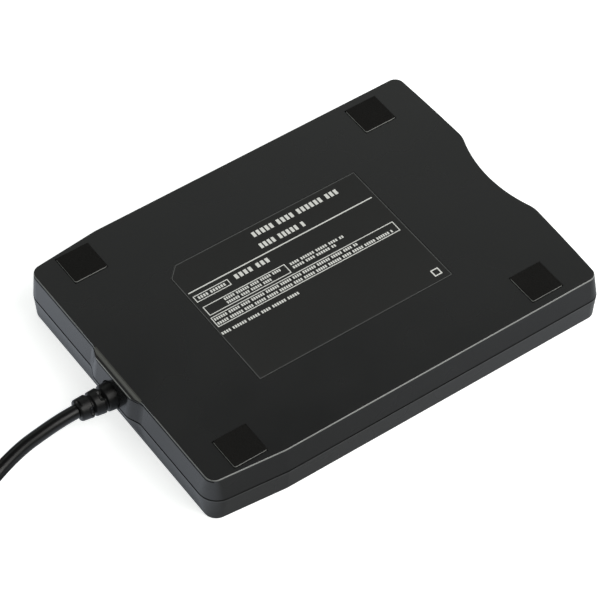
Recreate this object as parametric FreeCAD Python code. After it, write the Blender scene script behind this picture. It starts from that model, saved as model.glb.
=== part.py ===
import FreeCAD, Part
import math
import os

from FreeCAD import Vector

# External floppy disk drive for 90 mm disks, with its lead, all sizes in millimetres.
# It lies on its top cover with its underside up: +Z comes out of the underside, -Y is the front
# with the disk slot, +Y the back with the lead, and z = 0 is the surface it lies on.

# --- the disk that the drive takes ---
DISK_WIDTH = 90.0
DISK_LENGTH = 94.0
DISK_THICK = 3.3
DISK_HUB_FROM_EDGE = 46.0  # from the disk's leading edge to the centre of its hub
TRACK_OUTER_RADIUS = 39.5
TRACK_STROKE = 14.8125  # 79 steps of 0.1875
LOAD_DROP = 2.1  # how far the disk and its holder travel towards the spindle
SLIDER_STROKE = 5.0

# --- the slim mechanism ---
MECH_SIDE_ROOM = 3.1  # for holder rail, slider wing and chassis wall beside the disk
MECH_HALF_WIDTH = DISK_WIDTH / 2 + MECH_SIDE_ROOM
BOARD_SIDE_GAP = 6.1  # from the chassis side to the main board's edge
MECH_LENGTH = 122.0
MECH_HEIGHT = 12.8
MECH_SHOULDER = 6.0  # length of the narrower rear end
MECH_REAR_HALF_WIDTH = 36.0
SHEET = 0.5  # side walls of chassis, slider and disk holder
FLOOR_SHEET = 0.8
MOUNT_FROM_SIDE = 16.1
SHIELD_SHEET = 0.4
BOARD_THICK = 0.8

# --- running gaps ---
RUN_GAP = 0.1  # round pins in slots and bores
SLIDE_GAP = 0.1  # flat sheets that slide past each other
FREE_GAP = 0.3
SEAT_GAP = 0.05

# --- the case ---
CASE_SIDE_GAP = 1.3
TOP_WALL = 2.6  # side wall of the top cover at the parting line
BOTTOM_WALL = 1.8
TOP_FLOOR = 1.5
BOTTOM_FLOOR = 1.8
MOUNT_BOSS_HEIGHT = 2.0
BRIDGE_BAY = 11.75  # space behind the mechanism for the interface board
FRONT_BAY = 6.38  # from the mechanism to the apex of the bowed front
TOP_COVER_HEIGHT = 9.15  # the parting line, halfway up
WALL_FLARE = 1.35  # how far the parting line stands out from the rim of the underside
BASE_FLARE = 0.35  # how far the rim on the table stands out from it
FRONT_LEAN = 0.6  # how much less the front wall draws in towards the table
TOP_COVER_EDGE = 0.3
BOTTOM_COVER_EDGE = 0.4
FRONT_BOW_RADIUS = 886.0
SCALLOP_RADIUS = 47.0
SCALLOP_DEPTH = 3.97
SCALLOP_SHOULDER = 10.0
FRONT_CORNER = 3.2
REAR_CORNER = 3.4
REAR_CORNER_GROWTH = 2.4  # how fast the rear corners widen on the way out to the parting line
TAPER_LENGTH = 25.0
TAPER_INSET = 2.45
BOSS_REACH = 1.82
BOSS_HALF_WIDTH = 9.3
BOSS_FOOT_HALF_WIDTH = 13.5
BOSS_BLEND = 5.0
BOSS_LEDGE = 0.55  # how far the boss stays below the underside's face
BOSS_SLOPE = 0.95  # how far the slope down from the face runs out over the boss
GROOVE_DEPTH = 0.9
GROOVE_HEIGHT = 0.45
LIP_HEIGHT = 1.2
LIP_THICK = 0.7
LIP_GAP = 0.3

# --- feet, label and case screws ---
FOOT_WIDTH = 11.5
FOOT_THICK = 1.1
FOOT_POCKET_DEPTH = 0.5
FOOT_FROM_SIDE = 8.9
FOOT_FROM_BACK = 14.6
FOOT_FROM_FRONT = 18.65
LABEL_LENGTH = 71.9
LABEL_WIDTH = 52.2
LABEL_CORNER = 4.0
LABEL_DEPTH = 0.2
LABEL_SHEET = 0.12
LABEL_FROM_BACK = 33.4
SCREW_SHANK = 1.1
SCREW_HEAD = 2.2
SCREW_HEAD_HEIGHT = 1.5
POST_RADIUS = 3.0

# --- slot, flap, button and light ---
SLOT_TOP = 7.2
SLOT_HEIGHT = 4.2
SLOT_SIDE_GAP = 1.3  # beside the disk
SLOT_HALF_WIDTH = DISK_WIDTH / 2 + SLOT_SIDE_GAP
FLAP_THICK = 0.9
FLAP_PIN = 0.5
BUTTON_WIDTH = 12.0
BUTTON_HEIGHT = 2.4
BUTTON_FROM_SIDE = 9.1
BUTTON_Z = 11.0
BUTTON_PROUD = 0.5
LIGHT_WIDTH = 3.0
LIGHT_HEIGHT = 1.6
LIGHT_FROM_SIDE = 12.6

# --- the spindle motor ---
SHAFT_RADIUS = 1.25
BEARING_RADIUS = 3.2
BEARING_FLANGE = 5.0
HUB_RADIUS = 12.5
HUB_THICK = 0.85
ROTOR_RADIUS = 22.0
ROTOR_WALL = 1.2
ROTOR_FLOOR = 0.6
MAGNET_THICK = 1.5
STATOR_TEETH = 12
STATOR_HUB_RADIUS = 7.0
STATOR_HEIGHT = 1.4
TOOTH_WIDTH = 1.6
COIL_WIDTH = 3.4
COIL_HEIGHT = 2.3
DRIVE_PIN_RADIUS = 1.6
DRIVE_PIN_OFFSET = 8.9

# --- the head carriage ---
SCREW_X = 17.0
LEAD_SCREW_RADIUS = 1.2
LEAD_SCREW_PITCH = 3.75
STEPPER_RADIUS = 4.0
STEPPER_LENGTH = 15.0
ROD_X = (8.0, -9.0)
ROD_RADIUS = 1.1
CARRIAGE_HALF_WIDTH = 12.0
CARRIAGE_HEIGHT = 3.6
CARRIAGE_LENGTH = 19.4
NOSE_HALF_WIDTH = 4.0
TOWER_HALF_WIDTH = 8.2
TOWER_LENGTH = 5.4
ARM_SHEET = 0.5
ARM_BARREL = 0.5
HEAD_SIZE = 3.0

# --- switches, latch lever and springs ---
PLUNGER_RADIUS = 0.8
PLUNGER_STROKE = 1.4
SWITCH_WIDTH = 4.0
SWITCH_FROM_EDGE = 4.5  # from the disk's side edge, where its corner holes are
SWITCH_INNER = 15.0
LEVER_FROM_SIDE = 7.1
LEVER_REACH = 24.0
LEVER_THICK = 0.6
LEVER_REST_ANGLE = -60.0
FINGER_RADIUS = 1.2
SPRING_RADIUS = 1.1
SPRING_WIRE = 0.4

# --- inner leads ---
RIBBON_WIDTH = 14.0
RIBBON_X = 18.5
WIRE_DIAMETER = 0.5
WIRE_PITCH = 0.7
WIRE_SOCKET_X = -8.6
WIRE_SOCKET_PITCH = 1.6
WIRE_SOCKET_HEIGHT = 2.6
BRIDGE_POST_X = (-30.0, 30.0)

# --- the lead ---
CORD_DIAMETER = 4.5
ARC_SHARE = 0.45  # of the shorter run that each arc takes
RELIEF_ROOT_RADIUS = 4.6
RELIEF_TIP_RADIUS = 3.5
RELIEF_LENGTH = 12.9
RELIEF_Z = 10.4
RELIEF_NECK = 4.0
COIL_MEAN_RADIUS = 24.5
COIL_WIDTH_TURNS = 2
COIL_LAYERS = 2
COIL_X = 8.2
COIL_Y = 162.0
TIE_THICK = 0.6
TIE_WIDTH = 7.0
PLUG_GRIP = (16.0, 24.0, 8.2)  # width, length and height of the moulded grip
PLUG_SHELL = (12.0, 18.75, 4.5)
PLUG_SHEET = 0.3
PLUG_MID_Z = PLUG_GRIP[2] / 2

# --- worked out from the above ---
CASE_HALF_WIDTH = MECH_HALF_WIDTH + CASE_SIDE_GAP + TOP_WALL
MECH_FRONT = -66.0
MECH_REAR = MECH_FRONT + MECH_LENGTH
CASE_APEX = MECH_FRONT - FRONT_BAY
CASE_BACK = MECH_REAR + BRIDGE_BAY + TOP_WALL
SHIELD_Z = TOP_FLOOR + FREE_GAP
MECH_TOP = SHIELD_Z + MECH_HEIGHT
CASE_HEIGHT = MECH_TOP + MOUNT_BOSS_HEIGHT + BOTTOM_FLOOR
BOTTOM_INSIDE = CASE_HEIGHT - BOTTOM_FLOOR
FRONT_INSIDE = CASE_APEX + SCALLOP_DEPTH + BOTTOM_WALL
SLOT_Z = SLOT_TOP - SLOT_HEIGHT
DISK_Z = SLOT_Z + (SLOT_HEIGHT - DISK_THICK) / 2
DISK_LOADED_TOP = DISK_Z + DISK_THICK + LOAD_DROP
MEDIA_Z = DISK_Z + DISK_THICK / 2 + LOAD_DROP
DISK_LEAD_Y = MECH_FRONT + DISK_LENGTH
SPINDLE_Y = DISK_LEAD_Y - DISK_HUB_FROM_EDGE
HEAD_Y = SPINDLE_Y + TRACK_OUTER_RADIUS
FLOOR_Z = MECH_TOP - FLOOR_SHEET
HOLDER_Z = SLOT_Z - 0.05 - SHIELD_SHEET
HOLDER_LIP_Z = SLOT_TOP
RAIL_IN = DISK_WIDTH / 2 + 0.5
RAIL_OUT = RAIL_IN + SHEET
WALL_IN = MECH_HALF_WIDTH - SHEET
BOARD_EDGE_X = BOARD_SIDE_GAP - MECH_HALF_WIDTH
WING_OUT = WALL_IN - 2 * SLIDE_GAP
WING_IN = WING_OUT - SHEET
WEB_Z = FLOOR_Z - 1.6
PIN_Y = (MECH_FRONT + 20.0, MECH_FRONT + 76.0)
PIN_Z = MEDIA_Z - LOAD_DROP + 1.1
PIN_RADIUS = 0.7
HOLDER_FRONT = MECH_FRONT + 6.0
HOLDER_REAR = DISK_LEAD_Y - 2.0
FOOT_Y = (CASE_BACK - FOOT_FROM_BACK, CASE_APEX + FOOT_FROM_FRONT)
FOOT_SEAT_Z = CASE_HEIGHT - FOOT_POCKET_DEPTH
BRIDGE_FRONT = MECH_REAR + 1.2
BRIDGE_REAR = CASE_BACK - TOP_WALL - 0.4
BRIDGE_Z = TOP_FLOOR + 1.2
BRIDGE_HALF_WIDTH = 36.0
BRIDGE_POST_Y = BRIDGE_FRONT + 2.4
FOOT_X = CASE_HALF_WIDTH - FOOT_FROM_SIDE
BUTTON_X = BUTTON_FROM_SIDE - MECH_HALF_WIDTH
LIGHT_X = MECH_HALF_WIDTH - LIGHT_FROM_SIDE
LIGHT_Z = BUTTON_Z - 0.2
LEVER_PIVOT_X = LEVER_FROM_SIDE - MECH_HALF_WIDTH
HUB_Z = DISK_LOADED_TOP - 0.5
CUP_Z = HUB_Z + HUB_THICK
RIM_Z = WEB_Z + 0.4
BOARD_Z = FLOOR_Z - 2 * BOARD_THICK
MOTOR_BOARD_Z = FLOOR_Z - BOARD_THICK
MOTOR_BOARD_RADIUS = ROTOR_RADIUS + 1.2
BODY_Z = DISK_LOADED_TOP + 0.75
BODY_Y = HEAD_Y + 8.5
BODY_REAR = BODY_Y + CARRIAGE_LENGTH
NOSE_Y = HEAD_Y - HEAD_SIZE / 2 - 0.6
ROD_Z = BODY_Z + CARRIAGE_HEIGHT / 2
SCREW_Z = MECH_TOP - STEPPER_RADIUS
STEPPER_Y = MECH_REAR - 5.0 - STEPPER_LENGTH
ARM_Z = TOP_FLOOR + 0.15
ARM_PIVOT_Y = BODY_REAR - 3.4
ARM_PIVOT_Z = ARM_Z + ARM_SHEET / 2
TOWER_Z = SLOT_Z
LEVER_PIVOT_Y = DISK_LEAD_Y + 2.0
LEVER_Z = HOLDER_LIP_Z + 0.4 + LOAD_DROP + FREE_GAP
FRONT_BOARD_Y = MECH_FRONT + 3.0
FRONT_BOARD_DEPTH = 5.5
SWITCH_X = (SWITCH_FROM_EDGE - DISK_WIDTH / 2, DISK_WIDTH / 2 - SWITCH_FROM_EDGE,
            DISK_WIDTH / 2 - SWITCH_INNER)
SWITCH_Y = FRONT_BOARD_Y + 3.0
PLUNGER_TIP_Z = SLOT_TOP + 0.15
SPRING_X = WING_IN - 2.3
SPRING_Z = ROD_Z
SPRING_Y = (SPINDLE_Y - 23.0, SPINDLE_Y + 2.4)
MOUNT_X = MECH_HALF_WIDTH - MOUNT_FROM_SIDE
MOUNT_Y = (SPINDLE_Y - 20.5, MECH_REAR - 9.0)
BOSS_Y = CASE_BACK + BOSS_REACH
BUTTON_FRONT = WALL_FLARE * (CASE_HEIGHT - BUTTON_Z) / (CASE_HEIGHT - TOP_COVER_HEIGHT)


# --- small helpers ---

def box(x0, x1, y0, y1, z0, z1):
    """A box between two corners."""
    return Part.makeBox(x1 - x0, y1 - y0, z1 - z0, Vector(x0, y0, z0))


def post(x, y, z0, z1, radius):
    """A cylinder along Z."""
    return Part.makeCylinder(radius, z1 - z0, Vector(x, y, z0))


def rod_y(x, z, y0, y1, radius):
    """A cylinder along Y."""
    return Part.makeCylinder(radius, y1 - y0, Vector(x, y0, z), Vector(0, 1, 0))


def rod_x(y, z, x0, x1, radius):
    """A cylinder along X."""
    return Part.makeCylinder(radius, x1 - x0, Vector(x0, y, z), Vector(1, 0, 0))


def ring(x, y, z0, z1, outer, inner):
    """A tube along Z."""
    return post(x, y, z0, z1, outer).cut(post(x, y, z0, z1, inner))


def join(shapes):
    """One solid from shapes that touch or overlap."""
    shapes = list(shapes)
    return shapes[0].multiFuse(shapes[1:]).removeSplitter()


def carve(shape, tools):
    """The shape with every tool taken away."""
    for tool in tools:
        shape = shape.cut(tool)
    return shape


def plate(points, z0, z1):
    """A flat plate with a polygon outline."""
    corners = [Vector(x, y, z0) for x, y in points]
    return Part.Face(Part.makePolygon(corners + corners[:1])).extrude(Vector(0, 0, z1 - z0))


def both_sides(shape):
    """The shape and its mirror image across the centre plane."""
    return [shape, shape.mirror(Vector(0, 0, 0), Vector(1, 0, 0))]


def upright_edges(shape, x, y):
    """The vertical edges at +-x, y."""
    found = []
    for edge in shape.Edges:
        if len(edge.Vertexes) != 2:
            continue
        a, b = edge.Vertexes[0].Point, edge.Vertexes[1].Point
        if (a - b).x ** 2 + (a - b).y ** 2 > 1e-4:
            continue
        if abs(abs(a.x) - x) < 0.3 and abs(a.y - y) < 0.3:
            found.append(edge)
    return found


def edges_between(shape, z0, z1):
    """The edges that lie between two heights."""
    return [e for e in shape.Edges if e.BoundBox.ZMin > z0 and e.BoundBox.ZMax < z1]


def export(name, shape):
    """Writes one piece to its own file."""
    shape.exportStep("parts/" + name + ".step")


# --- the plan of the case ---

def front_y(x, inset=0.0):
    """The bowed front edge at x, drawn in by an inset."""
    return CASE_APEX + FRONT_BOW_RADIUS - math.sqrt((FRONT_BOW_RADIUS - inset) ** 2 - x ** 2)


def scallop_half_width(inset):
    """Where the finger scallop meets the bowed front."""
    radius = SCALLOP_RADIUS + inset
    centre = CASE_APEX + SCALLOP_DEPTH - SCALLOP_RADIUS
    x = radius / 2
    for _ in range(40):
        x = math.sqrt(radius ** 2 - (front_y(x, inset) - centre) ** 2)
    return x


def plan_face(inset, forward=0.0):
    """The outline of the case's rim, drawn in by an inset, without the lead's boss."""
    half = CASE_HALF_WIDTH - inset
    back = CASE_BACK - inset
    slope = math.hypot(TAPER_LENGTH, TAPER_INSET)
    nx, ny = TAPER_LENGTH / slope, TAPER_INSET / slope
    kink = CASE_BACK - TAPER_LENGTH - inset * (1 - nx) / ny
    rear = CASE_HALF_WIDTH - TAPER_INSET - inset * (1 - ny) / nx
    dip = scallop_half_width(inset)
    middle = (half + dip) / 2
    ends, shoulders = front_y(half, inset) - forward, front_y(dip, inset) - forward
    between, hollow = front_y(middle, inset) - forward, CASE_APEX + SCALLOP_DEPTH + inset - forward
    front = [Vector(-half, ends, 0), Vector(-dip, shoulders, 0), Vector(dip, shoulders, 0),
             Vector(half, ends, 0)]
    edges = [
        Part.Arc(front[0], Vector(-middle, between, 0), front[1]).toShape(),
        Part.Arc(front[1], Vector(0, hollow, 0), front[2]).toShape(),
        Part.Arc(front[2], Vector(middle, between, 0), front[3]).toShape(),
    ]
    rest = [front[3], Vector(half, kink, 0), Vector(rear, back, 0), Vector(-rear, back, 0),
            Vector(-half, kink, 0), front[0]]
    edges += [Part.LineSegment(a, b).toShape() for a, b in zip(rest, rest[1:])]
    block = Part.Face(Part.Wire(edges)).extrude(Vector(0, 0, 1))
    block = block.makeFillet(FRONT_CORNER - inset, upright_edges(block, half, ends))
    block = block.makeFillet(SCALLOP_SHOULDER - inset, upright_edges(block, dip, shoulders))
    rear_corner = REAR_CORNER - inset * (REAR_CORNER_GROWTH if inset < 0 else 1)
    block = block.makeFillet(rear_corner, upright_edges(block, rear, back))
    return [face for face in block.Faces if abs(face.CenterOfMass.z) < 1e-3][0]


def plan_block(inset, z0, z1):
    """The plan, drawn in by an inset, between two heights."""
    face = plan_face(inset)
    face.translate(Vector(0, 0, z0))
    return face.extrude(Vector(0, 0, z1 - z0))


def flare(z, rim):
    """How far the wall stands out at a height, least at the given rim and most at the parting line."""
    foot = 0.0 if rim else BASE_FLARE
    return foot + (WALL_FLARE - foot) * (z - rim) / (TOP_COVER_HEIGHT - rim)


def flared_block(inset, z0, z1, rim):
    """The plan between two heights, drawn in by an inset, with the slope of the wall up to one rim."""
    wires = []
    for z in (z0, z1):
        lean = 0.0 if rim else FRONT_LEAN * (1 - z / TOP_COVER_HEIGHT)
        wire = plan_face(inset - flare(z, rim), lean).OuterWire
        wire.translate(Vector(0, 0, z))
        wires.append(wire)
    return Part.makeLoft(wires, True, True)


def plan_ring(outer, inner, z0, z1):
    """The band of the plan between two insets."""
    return plan_block(outer, z0, z1).cut(plan_block(inner, z0 - 1, z1 + 1))


def boss_wire(reach, out, z):
    """The outline at a height of the rear wall's bulge round the lead, with S-shaped ends."""
    root, wall = CASE_BACK - TOP_WALL, CASE_BACK + out - 0.01
    points = [(-BOSS_FOOT_HALF_WIDTH - 6, root), (BOSS_FOOT_HALF_WIDTH + 6, root),
              (BOSS_FOOT_HALF_WIDTH + 6, wall), (BOSS_FOOT_HALF_WIDTH, wall),
              (BOSS_HALF_WIDTH, wall + reach), (-BOSS_HALF_WIDTH, wall + reach),
              (-BOSS_FOOT_HALF_WIDTH, wall), (-BOSS_FOOT_HALF_WIDTH - 6, wall)]
    block = plate(points, 0, 1)
    block = block.makeFillet(BOSS_BLEND, upright_edges(block, BOSS_HALF_WIDTH, wall + reach))
    block = block.makeFillet(BOSS_BLEND, upright_edges(block, BOSS_FOOT_HALF_WIDTH, wall))
    wire = [face for face in block.Faces if abs(face.CenterOfMass.z) < 1e-3][0].OuterWire
    wire.translate(Vector(0, 0, z))
    return wire


def boss_block(reach, z0, z1, rim):
    """The bulge between two heights, on the slope of the wall up to one rim."""
    return Part.makeLoft([boss_wire(reach, flare(z, rim), z) for z in (z0, z1)], True, True)


def boss_profile(points):
    """A block right across the boss from its outline in y and z."""
    block = plate(points, -2 * BOSS_FOOT_HALF_WIDTH, 2 * BOSS_FOOT_HALF_WIDTH)
    block.Placement = FreeCAD.Placement(Vector(0, 0, 0), FreeCAD.Rotation(Vector(1, 1, 1), 120))
    return block


# --- cutters that both covers share ---

def relief_bore():
    """The bore for the neck of the strain relief."""
    return rod_y(0, RELIEF_Z, CASE_BACK - 8, BOSS_Y + 1, RELIEF_NECK + SEAT_GAP)


def relief_seat():
    """The shallow round recess of the boss that the sleeve of the lead stands in."""
    return rod_y(0, RELIEF_Z, BOSS_Y - 0.01, BOSS_Y + 3, RELIEF_ROOT_RADIUS + FREE_GAP)


def relief_pocket():
    """The room behind the rear wall for the inner flange of the strain relief."""
    reach = RELIEF_NECK + 1.6 + FREE_GAP
    return box(-reach, reach, BRIDGE_REAR - 2.0, CASE_BACK - BOTTOM_WALL, BRIDGE_Z + BOARD_THICK,
               RELIEF_Z + reach)


def case_screw_spots():
    """The places of the two case screws, under the rear feet."""
    return [(side * FOOT_X, FOOT_Y[0]) for side in (1, -1)]


# --- the case ---

def top_cover():
    """The cover that lies on the table here: sloping walls, disk slot, posts and brackets."""
    shell = flared_block(0, 0, TOP_COVER_HEIGHT, 0)
    shell = shell.makeFillet(TOP_COVER_EDGE, edges_between(shell, -0.01, 0.01))
    boss = boss_block(BOSS_REACH, 0.6, TOP_COVER_HEIGHT, 0)
    brow_z = TOP_COVER_HEIGHT - 1.0
    brow_y = BOSS_Y + flare(brow_z, 0)
    slope = boss_profile([(CASE_BACK - 0.8, -1.0), (brow_y + 4, -1.0), (brow_y + 4, brow_z),
                          (brow_y, brow_z)])
    shell = shell.fuse(boss.cut(slope)).removeSplitter()
    shell = shell.cut(flared_block(TOP_WALL, TOP_FLOOR, TOP_COVER_HEIGHT + 0.5, 0))
    lip_out = BOTTOM_WALL - WALL_FLARE + LIP_GAP
    lip = plan_ring(lip_out, lip_out + LIP_THICK, TOP_COVER_HEIGHT - 0.5, TOP_COVER_HEIGHT + LIP_HEIGHT)
    lip = lip.cut(box(-SLOT_HALF_WIDTH - 2, SLOT_HALF_WIDTH + 2, CASE_APEX - 1, MECH_FRONT + 4, 0, 20))
    screw_posts = [post(x, y, TOP_FLOOR - 0.2, BUTTON_Z - 2.0, POST_RADIUS) for x, y in case_screw_spots()]
    board_posts = [post(x, BRIDGE_POST_Y, TOP_FLOOR - 0.2, BRIDGE_Z, 1.8) for x in BRIDGE_POST_X]
    brackets = both_sides(box(SLOT_HALF_WIDTH - 0.1, SLOT_HALF_WIDTH + 1.4, FRONT_INSIDE - 2.5,
                              FRONT_INSIDE + 1.9, TOP_FLOOR - 0.2, SLOT_Z + 1.2))
    shell = join([shell, lip] + screw_posts + board_posts + brackets)
    slot = box(-SLOT_HALF_WIDTH, SLOT_HALF_WIDTH, CASE_APEX - 3, FRONT_INSIDE + 1, SLOT_Z, SLOT_TOP)
    pocket = box(-CARRIAGE_HALF_WIDTH, CARRIAGE_HALF_WIDTH, NOSE_Y - TRACK_STROKE - 3, BODY_REAR + 2,
                 TOP_FLOOR - 0.5, TOP_FLOOR + 1)
    cuts = [slot, pocket, relief_bore(), relief_seat(), relief_pocket()]
    cuts += [post(x, y, TOP_FLOOR + 1, BUTTON_Z, SCREW_SHANK + SEAT_GAP) for x, y in case_screw_spots()]
    cuts += [post(x, BRIDGE_POST_Y, TOP_FLOOR, BRIDGE_Z + 1, 0.8) for x in BRIDGE_POST_X]
    cuts.append(rod_x(flap_axis()[0], flap_axis()[1], -SLOT_HALF_WIDTH - 0.9, SLOT_HALF_WIDTH + 0.9,
                      FLAP_PIN + SEAT_GAP))
    return carve(shell, cuts)


def bottom_cover():
    """The cover that faces up here, with the feet, the label recess, button and light openings."""
    shell = flared_block(0, TOP_COVER_HEIGHT, CASE_HEIGHT, CASE_HEIGHT)
    rim = edges_between(shell, CASE_HEIGHT - 0.01, CASE_HEIGHT + 0.01)
    shell = shell.makeFillet(BOTTOM_COVER_EDGE, rim)
    boss_top = CASE_HEIGHT - BOSS_LEDGE
    boss = boss_block(BOSS_REACH, TOP_COVER_HEIGHT, boss_top, CASE_HEIGHT)
    slope = boss_profile([(CASE_BACK - 1, boss_top - 1), (CASE_BACK + BOSS_SLOPE, boss_top),
                          (CASE_BACK, CASE_HEIGHT), (CASE_BACK - 1, CASE_HEIGHT)])
    slope = slope.common(boss_block(BOSS_SLOPE + 0.3, boss_top - 1, CASE_HEIGHT, CASE_HEIGHT))
    shell = shell.multiFuse([boss, slope]).removeSplitter()
    shell = shell.cut(flared_block(BOTTOM_WALL, TOP_COVER_HEIGHT - 0.5, BOTTOM_INSIDE, CASE_HEIGHT))
    groove = plan_ring(-WALL_FLARE - 1, GROOVE_DEPTH - WALL_FLARE, TOP_COVER_HEIGHT - 0.1,
                       TOP_COVER_HEIGHT + GROOVE_HEIGHT)
    bosses = [post(side * MOUNT_X, y, MECH_TOP, BOTTOM_INSIDE + 0.2, POST_RADIUS)
              for side in (1, -1) for y in MOUNT_Y]
    columns = [post(x, y, BUTTON_Z - 2.0, BOTTOM_INSIDE + 0.2, POST_RADIUS) for x, y in case_screw_spots()]
    shell = join([shell] + bosses + columns)
    gap = FREE_GAP
    button_hole = box(BUTTON_X - BUTTON_WIDTH / 2 - gap, BUTTON_X + BUTTON_WIDTH / 2 + gap, CASE_APEX - 3,
                      MECH_FRONT, BUTTON_Z - BUTTON_HEIGHT / 2 - gap, BUTTON_Z + BUTTON_HEIGHT / 2 + gap)
    light_hole = box(LIGHT_X - LIGHT_WIDTH / 2 - SEAT_GAP, LIGHT_X + LIGHT_WIDTH / 2 + SEAT_GAP,
                     CASE_APEX - 3, MECH_FRONT, LIGHT_Z - SEAT_GAP, LIGHT_Z + LIGHT_HEIGHT + SEAT_GAP)
    cuts = [groove, button_hole, light_hole, relief_bore(), relief_seat(), label_outline(0, 0.1),
            relief_pocket()]
    half = FOOT_WIDTH / 2 + 0.25
    for side in (1, -1):
        for y in FOOT_Y:
            cuts.append(box(side * FOOT_X - half, side * FOOT_X + half, y - half, y + half, FOOT_SEAT_Z,
                            CASE_HEIGHT + 1))
    for x, y in case_screw_spots():
        cuts.append(post(x, y, BUTTON_Z - 3, FOOT_SEAT_Z, SCREW_SHANK + SEAT_GAP))
        cuts.append(post(x, y, FOOT_SEAT_Z - SCREW_HEAD_HEIGHT - 0.1, FOOT_SEAT_Z + 0.1, SCREW_HEAD + 0.2))
    for side in (1, -1):
        for y in MOUNT_Y:
            cuts.append(post(side * MOUNT_X, y, MECH_TOP - 1, BOTTOM_INSIDE - 0.3, SCREW_SHANK + SEAT_GAP))
    return carve(shell, cuts)


def label_outline(inset, height):
    """The label's outline with its cut corner, sunk in the underside."""
    x = LABEL_WIDTH / 2 - inset
    y1 = CASE_BACK - LABEL_FROM_BACK - inset
    y0 = CASE_BACK - LABEL_FROM_BACK - LABEL_LENGTH + inset
    points = [(-x, y0), (x, y0), (x, y1 - LABEL_CORNER), (x - LABEL_CORNER, y1), (-x, y1)]
    return plate(points, CASE_HEIGHT - LABEL_DEPTH, CASE_HEIGHT - LABEL_DEPTH + LABEL_SHEET + height)


def foot(x, y):
    """One square foam pad in its pocket."""
    half = FOOT_WIDTH / 2
    pad = box(x - half, x + half, y - half, y + half, FOOT_SEAT_Z, FOOT_SEAT_Z + FOOT_THICK)
    return pad.makeFillet(0.6, [e for e in pad.Edges if e.BoundBox.ZLength > FOOT_THICK - 0.01])


def case_screws():
    """The two screws that hold the covers together, under the rear feet."""
    screws = []
    for x, y in case_screw_spots():
        head = post(x, y, FOOT_SEAT_Z - SCREW_HEAD_HEIGHT - 0.1, FOOT_SEAT_Z - 0.1, SCREW_HEAD)
        slot = [box(x - 1.2, x + 1.2, y - 0.25, y + 0.25, FOOT_SEAT_Z - 0.8, FOOT_SEAT_Z),
                box(x - 0.25, x + 0.25, y - 1.2, y + 1.2, FOOT_SEAT_Z - 0.8, FOOT_SEAT_Z)]
        shank = post(x, y, TOP_FLOOR + 2.5, FOOT_SEAT_Z - SCREW_HEAD_HEIGHT, SCREW_SHANK)
        screws.append(carve(join([head, shank]), slot))
    return Part.makeCompound(screws)


def flap_axis():
    """The y and z of the flap's hinge line."""
    return FRONT_INSIDE + 0.25 + FLAP_THICK / 2, SLOT_Z + 0.15


def slot_flap():
    """The door that closes the disk slot from inside, with its two hinge pins."""
    y, z = flap_axis()
    half = SLOT_HALF_WIDTH - 0.7
    leaf = box(-half, half, y - FLAP_THICK / 2, y + FLAP_THICK / 2, z, SLOT_TOP - 0.1)
    barrel = rod_x(y, z, -half, half, FLAP_THICK / 2)
    pins = rod_x(y, z, -SLOT_HALF_WIDTH - 0.8, SLOT_HALF_WIDTH + 0.8, FLAP_PIN - 0.02)
    return join([leaf, barrel, pins])


def flap_spring():
    """The small coil spring round the flap's pin that closes it."""
    y, z = flap_axis()
    inner, outer = FLAP_PIN + 0.1, FLAP_PIN + 0.6
    x0 = SLOT_HALF_WIDTH - 0.65
    coil = rod_x(y, z, x0, x0 + 0.5, outer).cut(rod_x(y, z, x0 - 1, x0 + 2, inner))
    leg = box(x0, x0 + 0.5, y + inner + 0.1, y + inner + 0.45, TOP_FLOOR, z)
    return coil.fuse(leg).removeSplitter()


def eject_button():
    """The push button and its stem, which meets the slider's front tab."""
    x0, x1 = BUTTON_X - BUTTON_WIDTH / 2, BUTTON_X + BUTTON_WIDTH / 2
    z0, z1 = BUTTON_Z - BUTTON_HEIGHT / 2, BUTTON_Z + BUTTON_HEIGHT / 2
    face = front_y(BUTTON_X) - BUTTON_FRONT - BUTTON_PROUD
    cap = box(x0, x1, face, front_y(BUTTON_X) + 4.0, z0, z1)
    front = [e for e in cap.Edges if e.BoundBox.YMax < face + 0.01]
    cap = cap.makeFillet(0.4, front)
    stem = box(x0 + 3, x1 - 3, front_y(BUTTON_X) + 3.0, MECH_FRONT + 3.0, z0 + 0.6, z1 - 0.6)
    return join([cap, stem])


def light_pipe():
    """The clear bar that carries the activity light to the front."""
    face = front_y(LIGHT_X) - BUTTON_FRONT
    return box(LIGHT_X - LIGHT_WIDTH / 2, LIGHT_X + LIGHT_WIDTH / 2, face - 0.1, FRONT_BOARD_Y - 0.1,
               LIGHT_Z, LIGHT_Z + LIGHT_HEIGHT)


# --- chassis, shield, holder and slider ---

def mech_plan(z0, z1, trim):
    """The mechanism's plan with its narrower rear end."""
    half, rear = MECH_HALF_WIDTH - trim, MECH_REAR_HALF_WIDTH - trim
    step = MECH_REAR - MECH_SHOULDER - trim
    y0, y1 = MECH_FRONT + trim, MECH_REAR - trim
    points = [(-half, y0), (half, y0), (half, step), (rear, step), (rear, y1), (-rear, y1), (-rear, step),
              (-half, step)]
    return plate(points, z0, z1)


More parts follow.
